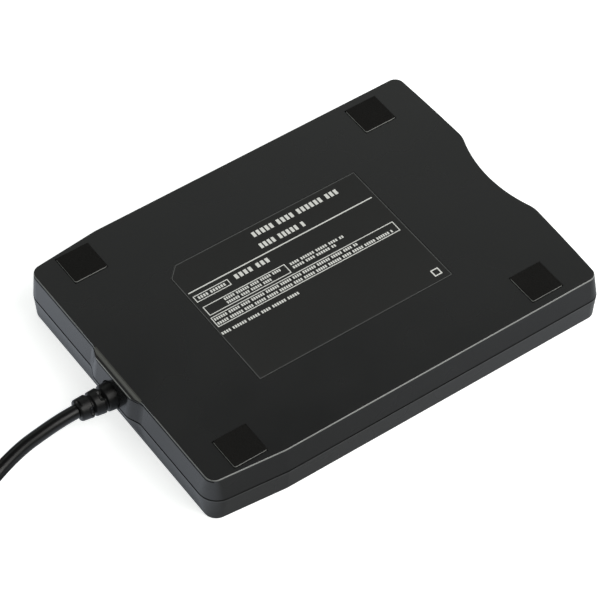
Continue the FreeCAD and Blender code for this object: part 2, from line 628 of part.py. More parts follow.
def chassis():
    """The pressed steel tray: floor, side walls with the guide slots of the holder, posts."""
    floor = mech_plan(FLOOR_Z, MECH_TOP, 0)
    wall = box(WALL_IN, MECH_HALF_WIDTH, MECH_FRONT + 2, MECH_REAR - MECH_SHOULDER, SHIELD_Z + SHIELD_SHEET,
               FLOOR_Z)
    rear = box(-MECH_REAR_HALF_WIDTH, MECH_REAR_HALF_WIDTH, MECH_REAR - SHEET, MECH_REAR,
               SHIELD_Z + SHIELD_SHEET, FLOOR_Z)
    reach = RIBBON_WIDTH / 2 + 1
    rear = rear.cut(box(RIBBON_X - reach, RIBBON_X + reach, MECH_REAR - 2, MECH_REAR + 1, SCREW_Z - 1.5,
                        FLOOR_Z))
    posts = [post(x, y, MOTOR_BOARD_Z, FLOOR_Z, 2.0) for x, y in main_board_posts()]
    posts.append(post(LEVER_PIVOT_X, LEVER_PIVOT_Y, LEVER_Z + LEVER_THICK + SLIDE_GAP, FLOOR_Z, 2.0))
    posts.append(post(LEVER_PIVOT_X, LEVER_PIVOT_Y, LEVER_Z - 0.3, FLOOR_Z, 1.2))
    hooks = []
    for x in (-SPRING_X, SPRING_X):
        hooks.append(post(x, SPRING_Y[0] - 1.2, SPRING_Z - 0.5, FLOOR_Z, 0.6))
    tray = join([floor, rear] + both_sides(wall) + posts + hooks)
    cuts = [post(0, SPINDLE_Y, FLOOR_Z - 1, MECH_TOP + 1, BEARING_RADIUS + SEAT_GAP)]
    for y in PIN_Y:
        reach = PIN_RADIUS + RUN_GAP
        for side in (1, -1):
            x0, x1 = sorted((side * (WALL_IN - 0.1), side * (MECH_HALF_WIDTH + 0.1)))
            cuts.append(box(x0, x1, y - reach, y + reach, 0, PIN_Z + LOAD_DROP))
            cuts.append(rod_x(y, PIN_Z + LOAD_DROP, x0, x1, reach))
    cuts += [post(side * MOUNT_X, y, FLOOR_Z - 1, MECH_TOP + 1, SCREW_SHANK + SEAT_GAP)
             for side in (1, -1) for y in MOUNT_Y]
    cuts.append(box(SCREW_X - STEPPER_RADIUS, SCREW_X + STEPPER_RADIUS, STEPPER_Y - SEAT_GAP,
                    STEPPER_Y + STEPPER_LENGTH + SEAT_GAP, FLOOR_Z - 1, MECH_TOP + 1))
    return carve(tray, cuts)


def shield_cover():
    """The thin sheet that closes the mechanism towards the top cover, open over the head arm."""
    sheet = mech_plan(SHIELD_Z, SHIELD_Z + SHIELD_SHEET, 0)
    window = box(-CARRIAGE_HALF_WIDTH, CARRIAGE_HALF_WIDTH, NOSE_Y - TRACK_STROKE - 3, BODY_REAR + 2, 0, 20)
    front = box(-MECH_HALF_WIDTH - 1, MECH_HALF_WIDTH + 1, MECH_FRONT - 1, HOLDER_FRONT, 0, 20)
    ribs = [box(x - 1.5, x + 1.5, HOLDER_FRONT + 12, HOLDER_REAR - 30, 0, 20) for x in (-28, 28)]
    return carve(sheet, [window, front] + ribs)


def chassis_screws():
    """The four screws that hold the mechanism to the bottom cover."""
    screws = []
    for side in (1, -1):
        for y in MOUNT_Y:
            head = post(side * MOUNT_X, y, FLOOR_Z - 1.1, FLOOR_Z, SCREW_HEAD)
            drive = box(side * MOUNT_X - 1.2, side * MOUNT_X + 1.2, y - 0.25, y + 0.25, FLOOR_Z - 1.2,
                        FLOOR_Z - 0.6)
            shank = post(side * MOUNT_X, y, FLOOR_Z - 0.1, BOTTOM_INSIDE - 0.5, SCREW_SHANK)
            screws.append(join([head, shank]).cut(drive))
    return Part.makeCompound(screws)


def disk_carrier():
    """The folded sheet holder that the disk slides into, with its four guide pins."""
    web = box(-RAIL_OUT, RAIL_OUT, HOLDER_FRONT, HOLDER_REAR, HOLDER_Z, SLOT_Z - 0.05)
    rail = box(RAIL_IN, RAIL_OUT, HOLDER_FRONT, HOLDER_REAR, HOLDER_Z, HOLDER_LIP_Z + 0.4)
    lip = box(RAIL_IN - 2.0, RAIL_OUT, HOLDER_FRONT, HOLDER_REAR, HOLDER_LIP_Z, HOLDER_LIP_Z + 0.4)
    pins = [rod_x(y, PIN_Z, RAIL_IN + 0.1, MECH_HALF_WIDTH, PIN_RADIUS) for y in PIN_Y]
    sides = []
    for piece in [rail, lip] + pins:
        sides += both_sides(piece)
    window = box(-CARRIAGE_HALF_WIDTH, CARRIAGE_HALF_WIDTH, NOSE_Y - TRACK_STROKE - 3, HOLDER_REAR + 1, 0,
                 SLOT_Z + 1)
    track = ring(LEVER_PIVOT_X, LEVER_PIVOT_Y, 0, SLOT_Z + 1, LEVER_REACH + 1.8, LEVER_REACH - 1.8)
    track = track.common(box(-33, -CARRIAGE_HALF_WIDTH, NOSE_Y - 12.6, HOLDER_REAR + 1, 0, SLOT_Z + 1))
    hub_hole = post(0, SPINDLE_Y, 0, SLOT_Z + 1, HUB_RADIUS)
    return carve(join([web] + sides), [window, track, hub_hole])


def slider_plate():
    """The sliding frame that the button pushes: cross web, two wings with slanted slots, tabs."""
    y0, y1 = MECH_FRONT + 14, SPINDLE_Y - 25.5
    web = box(-WING_OUT, WING_OUT, y0, y1, WEB_Z, WEB_Z + SHEET)
    wing = box(WING_IN, WING_OUT, FRONT_BOARD_Y + 0.5, HOLDER_REAR - 4, SLOT_Z + 1.4, WEB_Z + SHEET)
    tab = box(WING_IN - 3.3, WING_OUT, SPRING_Y[1] + 0.4, SPRING_Y[1] + 0.9, SPRING_Z - 1, SPRING_Z + 1)
    bridge = box(-WING_OUT, BUTTON_X + 3, FRONT_BOARD_Y, FRONT_BOARD_Y + SHEET, BUTTON_Z - 1.4,
                 BUTTON_Z + 1.4)
    frame = join([web, bridge] + both_sides(wing) + both_sides(tab))
    cuts = [box(-20, 20, y0 + 2.5, y1 - 2.5, 0, 20)]
    reach = PIN_RADIUS + RUN_GAP
    for y in PIN_Y:
        for side in (1, -1):
            x0, x1 = sorted((side * (WING_IN - 0.1), side * (WING_OUT + 0.1)))
            ends = [(y, PIN_Z), (y + SLIDER_STROKE, PIN_Z + LOAD_DROP)]
            cuts.append(slanted_slot(ends, reach, x0, x1))
    window = box(WING_IN - 1, WING_OUT + 1, PIN_Y[0] + 14, PIN_Y[1] - 12, SLOT_Z + 4.4, WEB_Z - 3.5)
    return carve(frame, cuts + both_sides(window))


def slanted_slot(ends, reach, x0, x1):
    """A slot with round ends between two (y, z) places, across a wing."""
    (ya, za), (yb, zb) = ends
    length = math.hypot(yb - ya, zb - za)
    ny, nz = -(zb - za) / length * reach, (yb - ya) / length * reach
    corners = [(ya + ny, za + nz), (yb + ny, zb + nz), (yb - ny, zb - nz), (ya - ny, za - nz)]
    wire = Part.makePolygon([Vector(x0, y, z) for y, z in corners + corners[:1]])
    bar = Part.Face(wire).extrude(Vector(x1 - x0, 0, 0))
    return join([bar, rod_x(ya, za, x0, x1, reach), rod_x(yb, zb, x0, x1, reach)])


def slider_springs():
    """The two extension springs that pull the slider forward, drawn as their outer sleeves."""
    springs = []
    for x in (-SPRING_X, SPRING_X):
        sleeve = rod_y(x, SPRING_Z, SPRING_Y[0], SPRING_Y[1], SPRING_RADIUS)
        springs.append(sleeve.cut(rod_y(x, SPRING_Z, SPRING_Y[0] - 1, SPRING_Y[1] + 1,
                                        SPRING_RADIUS - SPRING_WIRE)))
    return Part.makeCompound(springs)


def latch_lever():
    """The trigger lever: the disk's edge turns it by its finger, and it frees the slider."""
    x, y = LEVER_PIVOT_X, LEVER_PIVOT_Y
    z0, z1 = LEVER_Z, LEVER_Z + LEVER_THICK
    tip_x = x + LEVER_REACH
    bar = plate([(x, y - 2.6), (tip_x, y - 1.8), (tip_x, y + 1.8), (x, y + 2.6)], z0, z1)
    tip = post(tip_x, y, z0, z1, 1.8)
    finger = post(tip_x, y, SLOT_Z + 1.0, z1, FINGER_RADIUS)
    lever = join([bar, tip, finger, post(x, y, z0, z1, 3.2)])
    lever = lever.cut(post(x, y, z0 - 1, z1 + 1, 1.2 + SEAT_GAP))
    lever.rotate(Vector(x, y, 0), Vector(0, 0, 1), LEVER_REST_ANGLE)
    return lever


def lever_spring():
    """The torsion spring of the trigger lever, round the pivot post under the lever."""
    z0 = LEVER_Z + LEVER_THICK + SLIDE_GAP + 0.15
    return ring(LEVER_PIVOT_X, LEVER_PIVOT_Y, z0, z0 + 0.9, 2.0 + SPRING_WIRE + SEAT_GAP, 2.0 + SEAT_GAP)


# --- boards and switches ---

def main_board_posts():
    """The places of the main board's three posts."""
    return [(BOARD_EDGE_X + 2.0, SPINDLE_Y + 2.0), (-CARRIAGE_HALF_WIDTH - 6.0, BODY_Y + 9.0),
            (BOARD_EDGE_X + 2.5, BODY_Y + 9.0)]


def main_board():
    """The drive's logic board beside the spindle and the head carriage."""
    x0, x1 = BOARD_EDGE_X, -CARRIAGE_HALF_WIDTH - 2.0
    board = box(x0, x1, SPINDLE_Y - 16, MECH_REAR - 14, BOARD_Z, BOARD_Z + BOARD_THICK)
    cuts = [post(0, SPINDLE_Y, 0, 20, ROTOR_RADIUS + 4.0),
            post(LEVER_PIVOT_X, LEVER_PIVOT_Y, 0, 20, 2.6),
            post(-MOUNT_X, MOUNT_Y[0], 0, 20, SCREW_HEAD + 0.6)]
    cuts += [post(x, y, 0, 20, 0.9) for x, y in main_board_posts()]
    return carve(board, cuts)


def board_components():
    """The chips, the crystal can and the small capacitors of the main board."""
    parts = []
    for inward, y, wide, deep in ((14.0, 16.0, 12.0, 12.0), (7.5, 0.0, 7.0, 9.0), (17.0, 33.0, 9.0, 7.0)):
        x = BOARD_EDGE_X + inward
        body = box(x - wide / 2, x + wide / 2, y - deep / 2, y + deep / 2, BOARD_Z - 1.1, BOARD_Z)
        pins = []
        count = int(deep / 1.2)
        for k in range(count):
            py = y - deep / 2 + deep * (k + 0.5) / count
            pins.append(box(x - wide / 2 - 1.0, x + wide / 2 + 1.0, py - 0.2, py + 0.2, BOARD_Z - 0.25,
                            BOARD_Z))
        parts.append(join([body] + pins))
    for k in range(5):
        y = -10.0 + 9.0 * k
        parts.append(box(BOARD_EDGE_X + 0.6, BOARD_EDGE_X + 2.2, y - 0.5, y + 0.5, BOARD_Z - 0.7, BOARD_Z))
    parts.append(box(BOARD_EDGE_X + 6.0, BOARD_EDGE_X + 9.5, BODY_Y + 6.5, BODY_Y + 11.5, BOARD_Z - 1.0,
                     BOARD_Z))
    return Part.makeCompound(parts)


def board_screws():
    """The three small screws of the main board and the two of the interface board."""
    screws = []
    for x, y in main_board_posts():
        head = post(x, y, BOARD_Z - 0.9, BOARD_Z, 1.6)
        screws.append(join([head, post(x, y, BOARD_Z - 0.1, BOARD_Z + BOARD_THICK, 0.85)]))
    for x in BRIDGE_POST_X:
        y = BRIDGE_POST_Y
        top = BRIDGE_Z + BOARD_THICK
        head = post(x, y, top, top + 0.9, 1.6)
        screws.append(join([head, post(x, y, TOP_FLOOR + 0.2, top + 0.1, 0.75)]))
    return Part.makeCompound(screws)


def front_board():
    """The narrow board across the front that carries the disk switches and the light."""
    half = MECH_HALF_WIDTH - 4.1
    return box(-half, half, FRONT_BOARD_Y, FRONT_BOARD_Y + FRONT_BOARD_DEPTH, MOTOR_BOARD_Z, FLOOR_Z)


def status_led():
    """The light itself, behind the light pipe."""
    return box(LIGHT_X - 1.5, LIGHT_X + 1.5, FRONT_BOARD_Y, FRONT_BOARD_Y + 1.8, LIGHT_Z - 0.1,
               MOTOR_BOARD_Z)


def disk_switches():
    """The three switch housings: disk present, write protection and disk density."""
    bodies = []
    half = SWITCH_WIDTH / 2
    for x in SWITCH_X:
        body = box(x - half, x + half, SWITCH_Y - half, SWITCH_Y + half, PLUNGER_TIP_Z + 1.9, MOTOR_BOARD_Z)
        well = post(x, SWITCH_Y, 0, MOTOR_BOARD_Z - 0.6, PLUNGER_RADIUS + RUN_GAP)
        bodies.append(body.cut(well))
    return Part.makeCompound(bodies)


def switch_plunger(x):
    """The sprung plunger of one switch."""
    top = MOTOR_BOARD_Z - 0.6 - PLUNGER_STROKE - 0.3
    pin = post(x, SWITCH_Y, PLUNGER_TIP_Z, top, PLUNGER_RADIUS)
    return pin.makeFillet(0.3, edges_between(pin, PLUNGER_TIP_Z - 0.01, PLUNGER_TIP_Z + 0.01))


# --- the spindle motor ---

def motor_board():
    """The round board under the spindle motor, with its tongue for the index sensor."""
    disc = post(0, SPINDLE_Y, MOTOR_BOARD_Z, FLOOR_Z, MOTOR_BOARD_RADIUS)
    tongue = box(-32.0, 0, SPINDLE_Y - 6, SPINDLE_Y + 6, MOTOR_BOARD_Z, FLOOR_Z)
    bore = post(0, SPINDLE_Y, MOTOR_BOARD_Z - 1, FLOOR_Z + 1, BEARING_RADIUS + SEAT_GAP)
    return join([disc, tongue]).cut(bore)


def spindle_bearing():
    """The bearing sleeve with the flange that the stator sits on."""
    core_z = stator_z()
    sleeve = post(0, SPINDLE_Y, core_z - 0.3, MECH_TOP - 0.2, BEARING_RADIUS)
    flange = post(0, SPINDLE_Y, core_z + STATOR_HEIGHT, MOTOR_BOARD_Z, BEARING_FLANGE)
    bore = post(0, SPINDLE_Y, 0, 20, SHAFT_RADIUS + 0.03)
    return join([sleeve, flange]).cut(bore)


def stator_z():
    """The height of the stator's laminations."""
    return CUP_Z + ROTOR_FLOOR + 0.9


def tooth_places():
    """The angles of the stator's teeth."""
    return [360.0 * k / STATOR_TEETH for k in range(STATOR_TEETH)]


def turned(shape, angle):
    """A copy turned about the spindle."""
    copy = shape.copy()
    copy.rotate(Vector(0, SPINDLE_Y, 0), Vector(0, 0, 1), angle)
    return copy


def stator_radius():
    """The outer radius of the stator's pole shoes."""
    return ROTOR_RADIUS - ROTOR_WALL - MAGNET_THICK - 0.4


def stator_core():
    """The laminated core: a hub with teeth that end in pole shoes."""
    z0, z1 = stator_z(), stator_z() + STATOR_HEIGHT
    outer = stator_radius()
    hub = ring(0, SPINDLE_Y, z0, z1, STATOR_HUB_RADIUS, BEARING_RADIUS + SEAT_GAP)
    tooth = box(STATOR_HUB_RADIUS - 0.5, outer - 1.0, SPINDLE_Y - TOOTH_WIDTH / 2,
                SPINDLE_Y + TOOTH_WIDTH / 2, z0, z1)
    shoe = ring(0, SPINDLE_Y, z0, z1, outer, outer - 1.4)
    shoe = shoe.common(box(outer - 3, outer + 1, SPINDLE_Y - 3.4, SPINDLE_Y + 3.4, z0, z1))
    arm = join([tooth, shoe])
    return join([hub] + [turned(arm, angle) for angle in tooth_places()])


def stator_coils():
    """The windings, one round each tooth."""
    middle = stator_z() + STATOR_HEIGHT / 2
    outer = stator_radius() - 2.0
    coil = box(STATOR_HUB_RADIUS + 2.6, outer, SPINDLE_Y - COIL_WIDTH / 2, SPINDLE_Y + COIL_WIDTH / 2,
               middle - COIL_HEIGHT / 2, middle + COIL_HEIGHT / 2)
    coil = coil.makeFillet(0.5, [e for e in coil.Edges if e.BoundBox.XLength > 3])
    core = box(0, outer + 1, SPINDLE_Y - TOOTH_WIDTH / 2, SPINDLE_Y + TOOTH_WIDTH / 2, stator_z(),
               stator_z() + STATOR_HEIGHT)
    coil = coil.cut(core)
    return Part.makeCompound([turned(coil, angle) for angle in tooth_places()])


def spindle_rotor():
    """The steel cup that spins round the stator."""
    cup = post(0, SPINDLE_Y, CUP_Z, RIM_Z, ROTOR_RADIUS)
    inside = post(0, SPINDLE_Y, CUP_Z + ROTOR_FLOOR, RIM_Z + 1, ROTOR_RADIUS - ROTOR_WALL)
    bore = post(0, SPINDLE_Y, 0, 20, SHAFT_RADIUS)
    holes = [turned(post(16.0, SPINDLE_Y, 0, 20, 1.2), angle) for angle in (0, 90, 180, 270)]
    return carve(cup, [inside, bore] + holes)


def rotor_magnet():
    """The ring magnet inside the cup's rim."""
    outer = ROTOR_RADIUS - ROTOR_WALL
    return ring(0, SPINDLE_Y, CUP_Z + ROTOR_FLOOR, RIM_Z - 0.2, outer, outer - MAGNET_THICK)


def spindle_hub():
    """The plate that the disk's hub is drawn against."""
    hub = post(0, SPINDLE_Y, HUB_Z, CUP_Z, HUB_RADIUS)
    hub = hub.makeFillet(0.3, edges_between(hub, HUB_Z - 0.01, HUB_Z + 0.01))
    hole = post(DRIVE_PIN_OFFSET, SPINDLE_Y, 0, 20, DRIVE_PIN_RADIUS + SEAT_GAP)
    return carve(hub, [hole, post(0, SPINDLE_Y, 0, 20, SHAFT_RADIUS)])


def spindle_shaft():
    """The shaft, whose tip centres the disk's hub."""
    tip = HUB_Z - 0.8
    shaft = post(0, SPINDLE_Y, tip, MECH_TOP - 0.4, SHAFT_RADIUS)
    return shaft.makeChamfer(0.3, edges_between(shaft, tip - 0.01, tip + 0.01))


def drive_pin():
    """The pin that catches the slot in the disk's hub."""
    return post(DRIVE_PIN_OFFSET, SPINDLE_Y, HUB_Z - 0.7, CUP_Z, DRIVE_PIN_RADIUS)


def position_sensors():
    """The index sensor at the rotor's rim and the outer-track sensor behind the carriage."""
    x = -MOTOR_BOARD_RADIUS - 1.2
    index = box(x - 1.2, x + 1.2, SPINDLE_Y - 1.2, SPINDLE_Y + 1.2, MOTOR_BOARD_Z - 1.0, MOTOR_BOARD_Z)
    y0 = BODY_REAR + 1.4
    track = box(-3.0, 3.0, y0, y0 + 3.6, ROD_Z - 1.6, FLOOR_Z)
    track = track.cut(box(-0.8, 0.8, y0 - 1, y0 + 2.6, ROD_Z - 2.6, ROD_Z + 1.2))
    return Part.makeCompound([index, track])


# --- the head positioner ---

def stepper_motor():
    """The small stepper can with its end cap."""
    can = rod_y(SCREW_X, SCREW_Z, STEPPER_Y, STEPPER_Y + STEPPER_LENGTH, STEPPER_RADIUS - SEAT_GAP)
    can = can.makeFillet(0.4, [e for e in can.Edges if e.BoundBox.YLength < 0.01])
    band = rod_y(SCREW_X, SCREW_Z, STEPPER_Y + 5, STEPPER_Y + 10, STEPPER_RADIUS)
    thin = rod_y(SCREW_X, SCREW_Z, STEPPER_Y + 5, STEPPER_Y + 10, STEPPER_RADIUS - 0.3)
    bore = rod_y(SCREW_X, SCREW_Z, STEPPER_Y - 1, STEPPER_Y + 2, LEAD_SCREW_RADIUS + RUN_GAP)
    return can.cut(band.cut(thin)).cut(bore)


def screw_front():
    """The y of the screw's front bearing."""
    return SPINDLE_Y + ROTOR_RADIUS + 4.4


def stepper_bracket():
    """The bent bracket that carries the stepper and the screw's front bearing."""
    half = 3.0
    base = box(SCREW_X - half, SCREW_X + half, screw_front(), STEPPER_Y, MOTOR_BOARD_Z, FLOOR_Z)
    ear = box(SCREW_X - half, SCREW_X + half, screw_front(), screw_front() + 1.0, SCREW_Z - 2.2, FLOOR_Z)
    back = box(SCREW_X - STEPPER_RADIUS, SCREW_X + STEPPER_RADIUS, STEPPER_Y - 0.8, STEPPER_Y,
               SCREW_Z - STEPPER_RADIUS, FLOOR_Z)
    bore = rod_y(SCREW_X, SCREW_Z, screw_front() - 1, STEPPER_Y + 1, LEAD_SCREW_RADIUS + RUN_GAP)
    return join([base, ear, back]).cut(bore)


def lead_screw():
    """The stepper's lead screw, with its thread as rings at the real pitch's depth."""
    core = rod_y(SCREW_X, SCREW_Z, screw_front() - 0.4, STEPPER_Y + 1.6, LEAD_SCREW_RADIUS)
    grooves = []
    y = screw_front() + 2.0
    while y < STEPPER_Y - 2.0:
        band = rod_y(SCREW_X, SCREW_Z, y, y + 0.5, LEAD_SCREW_RADIUS + 1)
        grooves.append(band.cut(rod_y(SCREW_X, SCREW_Z, y - 1, y + 2, LEAD_SCREW_RADIUS - 0.25)))
        y += LEAD_SCREW_PITCH / 3
    return carve(core, grooves)


def rod_ends():
    """The front and rear ends of the guide rods."""
    return NOSE_Y - TRACK_STROKE + 0.9, BODY_REAR + 3.1


def guide_rods():
    """The two polished rods that the carriage runs on."""
    y0, y1 = rod_ends()
    return Part.makeCompound([rod_y(x, ROD_Z, y0, y1, ROD_RADIUS) for x in ROD_X])


def rod_clamps():
    """The four blocks that hold the ends of the rods on the chassis."""
    y0, y1 = rod_ends()
    blocks = []
    for x in ROD_X:
        for a, b in ((y0 - 0.4, y0 + 2.2), (y1 - 2.5, y1 + 0.4)):
            block = box(x - 2.0, x + 2.0, a, b, ROD_Z - 0.4, FLOOR_Z)
            blocks.append(block.cut(rod_y(x, ROD_Z, y0 - 5, y1 + 5, ROD_RADIUS + 0.02)))
    return Part.makeCompound(blocks)


def head_carriage():
    """The carriage: body on the rods, nose under the disk, tower for the arm, flag and follower."""
    z1 = BODY_Z + CARRIAGE_HEIGHT
    body = box(-CARRIAGE_HALF_WIDTH, CARRIAGE_HALF_WIDTH, BODY_Y, BODY_REAR, BODY_Z, z1)
    nose = box(-NOSE_HALF_WIDTH, NOSE_HALF_WIDTH, NOSE_Y, BODY_Y + 1, BODY_Z, BODY_Z + 2.6)
    tower = box(-TOWER_HALF_WIDTH, TOWER_HALF_WIDTH, BODY_REAR - TOWER_LENGTH, BODY_REAR, TOWER_Z,
                BODY_Z + 1)
    ear = box(TOWER_HALF_WIDTH - 1.0, TOWER_HALF_WIDTH, ARM_PIVOT_Y - 1.0, ARM_PIVOT_Y + 1.0,
              ARM_PIVOT_Z - 0.7, TOWER_Z + 0.5)
    flag = box(-0.4, 0.4, BODY_REAR - 0.5, BODY_REAR + 3.4, ROD_Z - 1.0, ROD_Z + 0.7)
    follower = box(CARRIAGE_HALF_WIDTH - 1, SCREW_X - LEAD_SCREW_RADIUS - RUN_GAP, BODY_Y + 1.4,
                   BODY_Y + 3.4, SCREW_Z - 0.6, SCREW_Z + 0.6)
    carriage = join([body, nose, tower, flag, follower] + both_sides(ear))
    y = ARM_PIVOT_Y
    cuts = [rod_y(x, ROD_Z, BODY_Y - 1, BODY_REAR + 1, ROD_RADIUS + 0.05) for x in ROD_X]
    cuts.append(rod_x(y, ARM_PIVOT_Z, -TOWER_HALF_WIDTH - 1, TOWER_HALF_WIDTH + 1, 0.35))
    cuts.append(box(-6, 6, BODY_Y + 3, BODY_REAR - TOWER_LENGTH - 2, BODY_Z - 1, BODY_Z + 1.2))
    return carve(carriage, cuts)


def lower_head():
    """The lower read and write head on the carriage's nose."""
    half = HEAD_SIZE / 2
    block = box(-half, half, HEAD_Y - half, HEAD_Y + half, MEDIA_Z + 0.02, BODY_Z)
    return block.makeFillet(0.3, edges_between(block, MEDIA_Z + 0.01, MEDIA_Z + 0.03))


def upper_arm():
    """The sprung arm over the disk, raised while no disk is loaded."""
    z0, z1 = ARM_Z, ARM_Z + ARM_SHEET
    rear, front = ARM_PIVOT_Y, HEAD_Y - HEAD_SIZE / 2 - 0.8
    wide = TOWER_HALF_WIDTH - 1.3
    slim = NOSE_HALF_WIDTH
    blade = plate([(-wide, rear), (-slim, front), (slim, front), (wide, rear)], z0, z1)
    window = plate([(-2.4, rear - 4), (-1.6, HEAD_Y + 5), (1.6, HEAD_Y + 5), (2.4, rear - 4)], z0, z1)
    barrel = rod_x(ARM_PIVOT_Y, ARM_PIVOT_Z, -wide, wide, ARM_BARREL)
    pin = rod_x(ARM_PIVOT_Y, ARM_PIVOT_Z, -TOWER_HALF_WIDTH, TOWER_HALF_WIDTH, 0.3)
    return join([blade.cut(window), barrel, pin])


def upper_head():
    """The upper read and write head under the arm's tip."""
    half = HEAD_SIZE / 2
    return box(-half, half, HEAD_Y - half, HEAD_Y + half, ARM_Z + ARM_SHEET, ARM_Z + ARM_SHEET + 1.2)


# --- ribbons, interface board and wires ---

def head_ribbon():
    """The flexible lead from the carriage to the main board, a thin strip in a low loop."""
    y0, y1 = BODY_Y + 9.0, BODY_Y + 12.0
    thick = 0.2
    x0 = -CARRIAGE_HALF_WIDTH - SEAT_GAP - thick / 2
    x1, x2, z1 = x0 - 1.2, x0 - 4.0, BOARD_Z - thick
    return strip_y([(x0, ROD_Z), (x1, ROD_Z), (x1, z1), (x2, z1)], thick, y0, y1)


def strip_y(points, thick, y0, y1):
    """A strip of constant thickness along (x, z) points, extruded along Y."""
    bars = []
    half = thick / 2
    for (xa, za), (xb, zb) in zip(points, points[1:]):
        bars.append(box(min(xa, xb) - half, max(xa, xb) + half, y0, y1, min(za, zb) - half,
                        max(za, zb) + half))
    return join(bars)


def drive_ribbon():
    """The flat cable from the mechanism's rear opening to the interface board."""
    x0, x1, half = RIBBON_X - RIBBON_WIDTH / 2, RIBBON_X + RIBBON_WIDTH / 2, 0.15
    a, b = MECH_REAR - 2.6, MECH_REAR + 0.75
    z_high, z_low = SCREW_Z + 1.4, BRIDGE_Z + BOARD_THICK + 1.2
    c = BRIDGE_FRONT + 2.6
    bars = [box(x0, x1, a, b + half, z_high - half, z_high + half),
            box(x0, x1, b - half, b + half, z_low - half, z_high + half),
            box(x0, x1, b - half, c, z_low - half, z_low + half)]
    return join(bars)


def ribbon_sockets():
    """The two sockets of the flat cable: one on the mechanism, one on the interface board."""
    z_high, z_low = SCREW_Z + 1.4, BRIDGE_Z + BOARD_THICK
    x0, x1 = RIBBON_X - RIBBON_WIDTH / 2 - 1.2, RIBBON_X + RIBBON_WIDTH / 2 + 1.2
    mech = box(x0, x1, MECH_REAR - 5.0, MECH_REAR - 2.6, z_high - 0.8, FLOOR_Z)
    bridge = box(x0, x1, BRIDGE_FRONT + 2.6, BRIDGE_FRONT + 6.4, z_low, z_low + 2.2)
    return Part.makeCompound([mech, bridge])


def bridge_board():
    """The interface board between the drive and the lead."""
    board = box(-BRIDGE_HALF_WIDTH, BRIDGE_HALF_WIDTH, BRIDGE_FRONT, BRIDGE_REAR, BRIDGE_Z,
                BRIDGE_Z + BOARD_THICK)
    return carve(board, [post(x, BRIDGE_POST_Y, 0, 20, 0.9) for x in BRIDGE_POST_X])


def bridge_components():
    """The interface chip with its pins, the crystal, capacitors and the wire socket."""
    z0 = BRIDGE_Z + BOARD_THICK
    x, y, half = 3.0, (BRIDGE_FRONT + BRIDGE_REAR) / 2 - 0.6, 3.4
    chip = box(x - half, x + half, y - half, y + half, z0 + 0.1, z0 + 1.4)
    pins = []
    for k in range(8):
        shift = -2.8 + 0.8 * k
        pins.append(box(x + shift - 0.15, x + shift + 0.15, y - half - 0.8, y + half + 0.8, z0, z0 + 0.25))
        pins.append(box(x - half - 0.8, x + half + 0.8, y + shift - 0.15, y + shift + 0.15, z0, z0 + 0.25))
    parts = [join([chip] + pins)]
    can = box(-25.0, -15.0, y - 1.8, y + 1.8, z0, z0 + 2.4)
    parts.append(can.makeFillet(1.7, [e for e in can.Edges if e.BoundBox.ZLength > 2.3]))
    socket_half = 2 * WIRE_SOCKET_PITCH + 0.3
    parts.append(box(WIRE_SOCKET_X - socket_half, WIRE_SOCKET_X + socket_half, BRIDGE_REAR - 3.6,
                     BRIDGE_REAR - 0.4, z0, z0 + WIRE_SOCKET_HEIGHT))
    parts += [box(9.0 + 1.6 * k, 10.0 + 1.6 * k, y + 2.2, y + 3.8, z0, z0 + 0.8) for k in range(3)]
    return Part.makeCompound(parts)


def cable_wires():
    """The lead's inner end and its four wires, which fan out to the socket on the interface board."""
    stub_y = relief_inner_y() - 2.0
    socket_y = BRIDGE_REAR - 2.0
    socket_top = BRIDGE_Z + BOARD_THICK + WIRE_SOCKET_HEIGHT
    parts = [rod_y(0, RELIEF_Z, stub_y, relief_inner_y(), CORD_DIAMETER / 2)]
    for k in range(4):
        x = (k - 1.5) * WIRE_PITCH
        end_x = WIRE_SOCKET_X + (1.5 - k) * WIRE_SOCKET_PITCH
        route = [Vector(x, stub_y + 0.6, RELIEF_Z - 0.6),
                 Vector(x, stub_y - 1.2 - 0.9 * k, RELIEF_Z - 0.6),
                 Vector(end_x, socket_y, socket_top + 2.4),
                 Vector(end_x, socket_y, socket_top)]
        parts.append(sweep(route, WIRE_DIAMETER)[0])
    return join(parts)


# --- the lead ---

def relief_inner_y():
    """The inner face of the strain relief's flange."""
    return CASE_BACK - BOTTOM_WALL - 1.6


def strain_relief():
    """The ribbed sleeve: flange and neck inside the wall, tapered segments outside."""
    inner = relief_inner_y()
    wall_in = CASE_BACK - BOTTOM_WALL
    profile = [(inner, 0.0), (inner, RELIEF_NECK + 1.2), (wall_in - SEAT_GAP, RELIEF_NECK + 1.2),
               (wall_in - SEAT_GAP, RELIEF_NECK), (BOSS_Y + SEAT_GAP, RELIEF_NECK),
               (BOSS_Y + SEAT_GAP, RELIEF_ROOT_RADIUS)]
    segments = 3
    pitch = RELIEF_LENGTH / segments
    gap = 0.75
    for k in range(segments):
        y0 = BOSS_Y + SEAT_GAP + pitch * k
        y1 = y0 + pitch - gap
        r0 = relief_radius(pitch * k)
        r1 = relief_radius(pitch * (k + 1) - gap)
        profile += [(y0 + 0.01, r0), (y1, r1)]
        if k < segments - 1:
            profile += [(y1 + 0.01, r1 - 0.7), (y1 + gap - 0.01, r1 - 0.75)]
    profile += [(BOSS_Y + SEAT_GAP + RELIEF_LENGTH, CORD_DIAMETER / 2 + 0.5),
                (BOSS_Y + SEAT_GAP + RELIEF_LENGTH, 0.0)]
    points = [Vector(0, y, RELIEF_Z + r) for y, r in profile]
    face = Part.Face(Part.makePolygon(points + points[:1]))
    sleeve = face.revolve(Vector(0, 0, RELIEF_Z), Vector(0, 1, 0), 360)
    return sleeve


def relief_radius(along):
    """The strain relief's outer radius at a distance from the wall."""
    return RELIEF_ROOT_RADIUS + (RELIEF_TIP_RADIUS - RELIEF_ROOT_RADIUS) * along / RELIEF_LENGTH


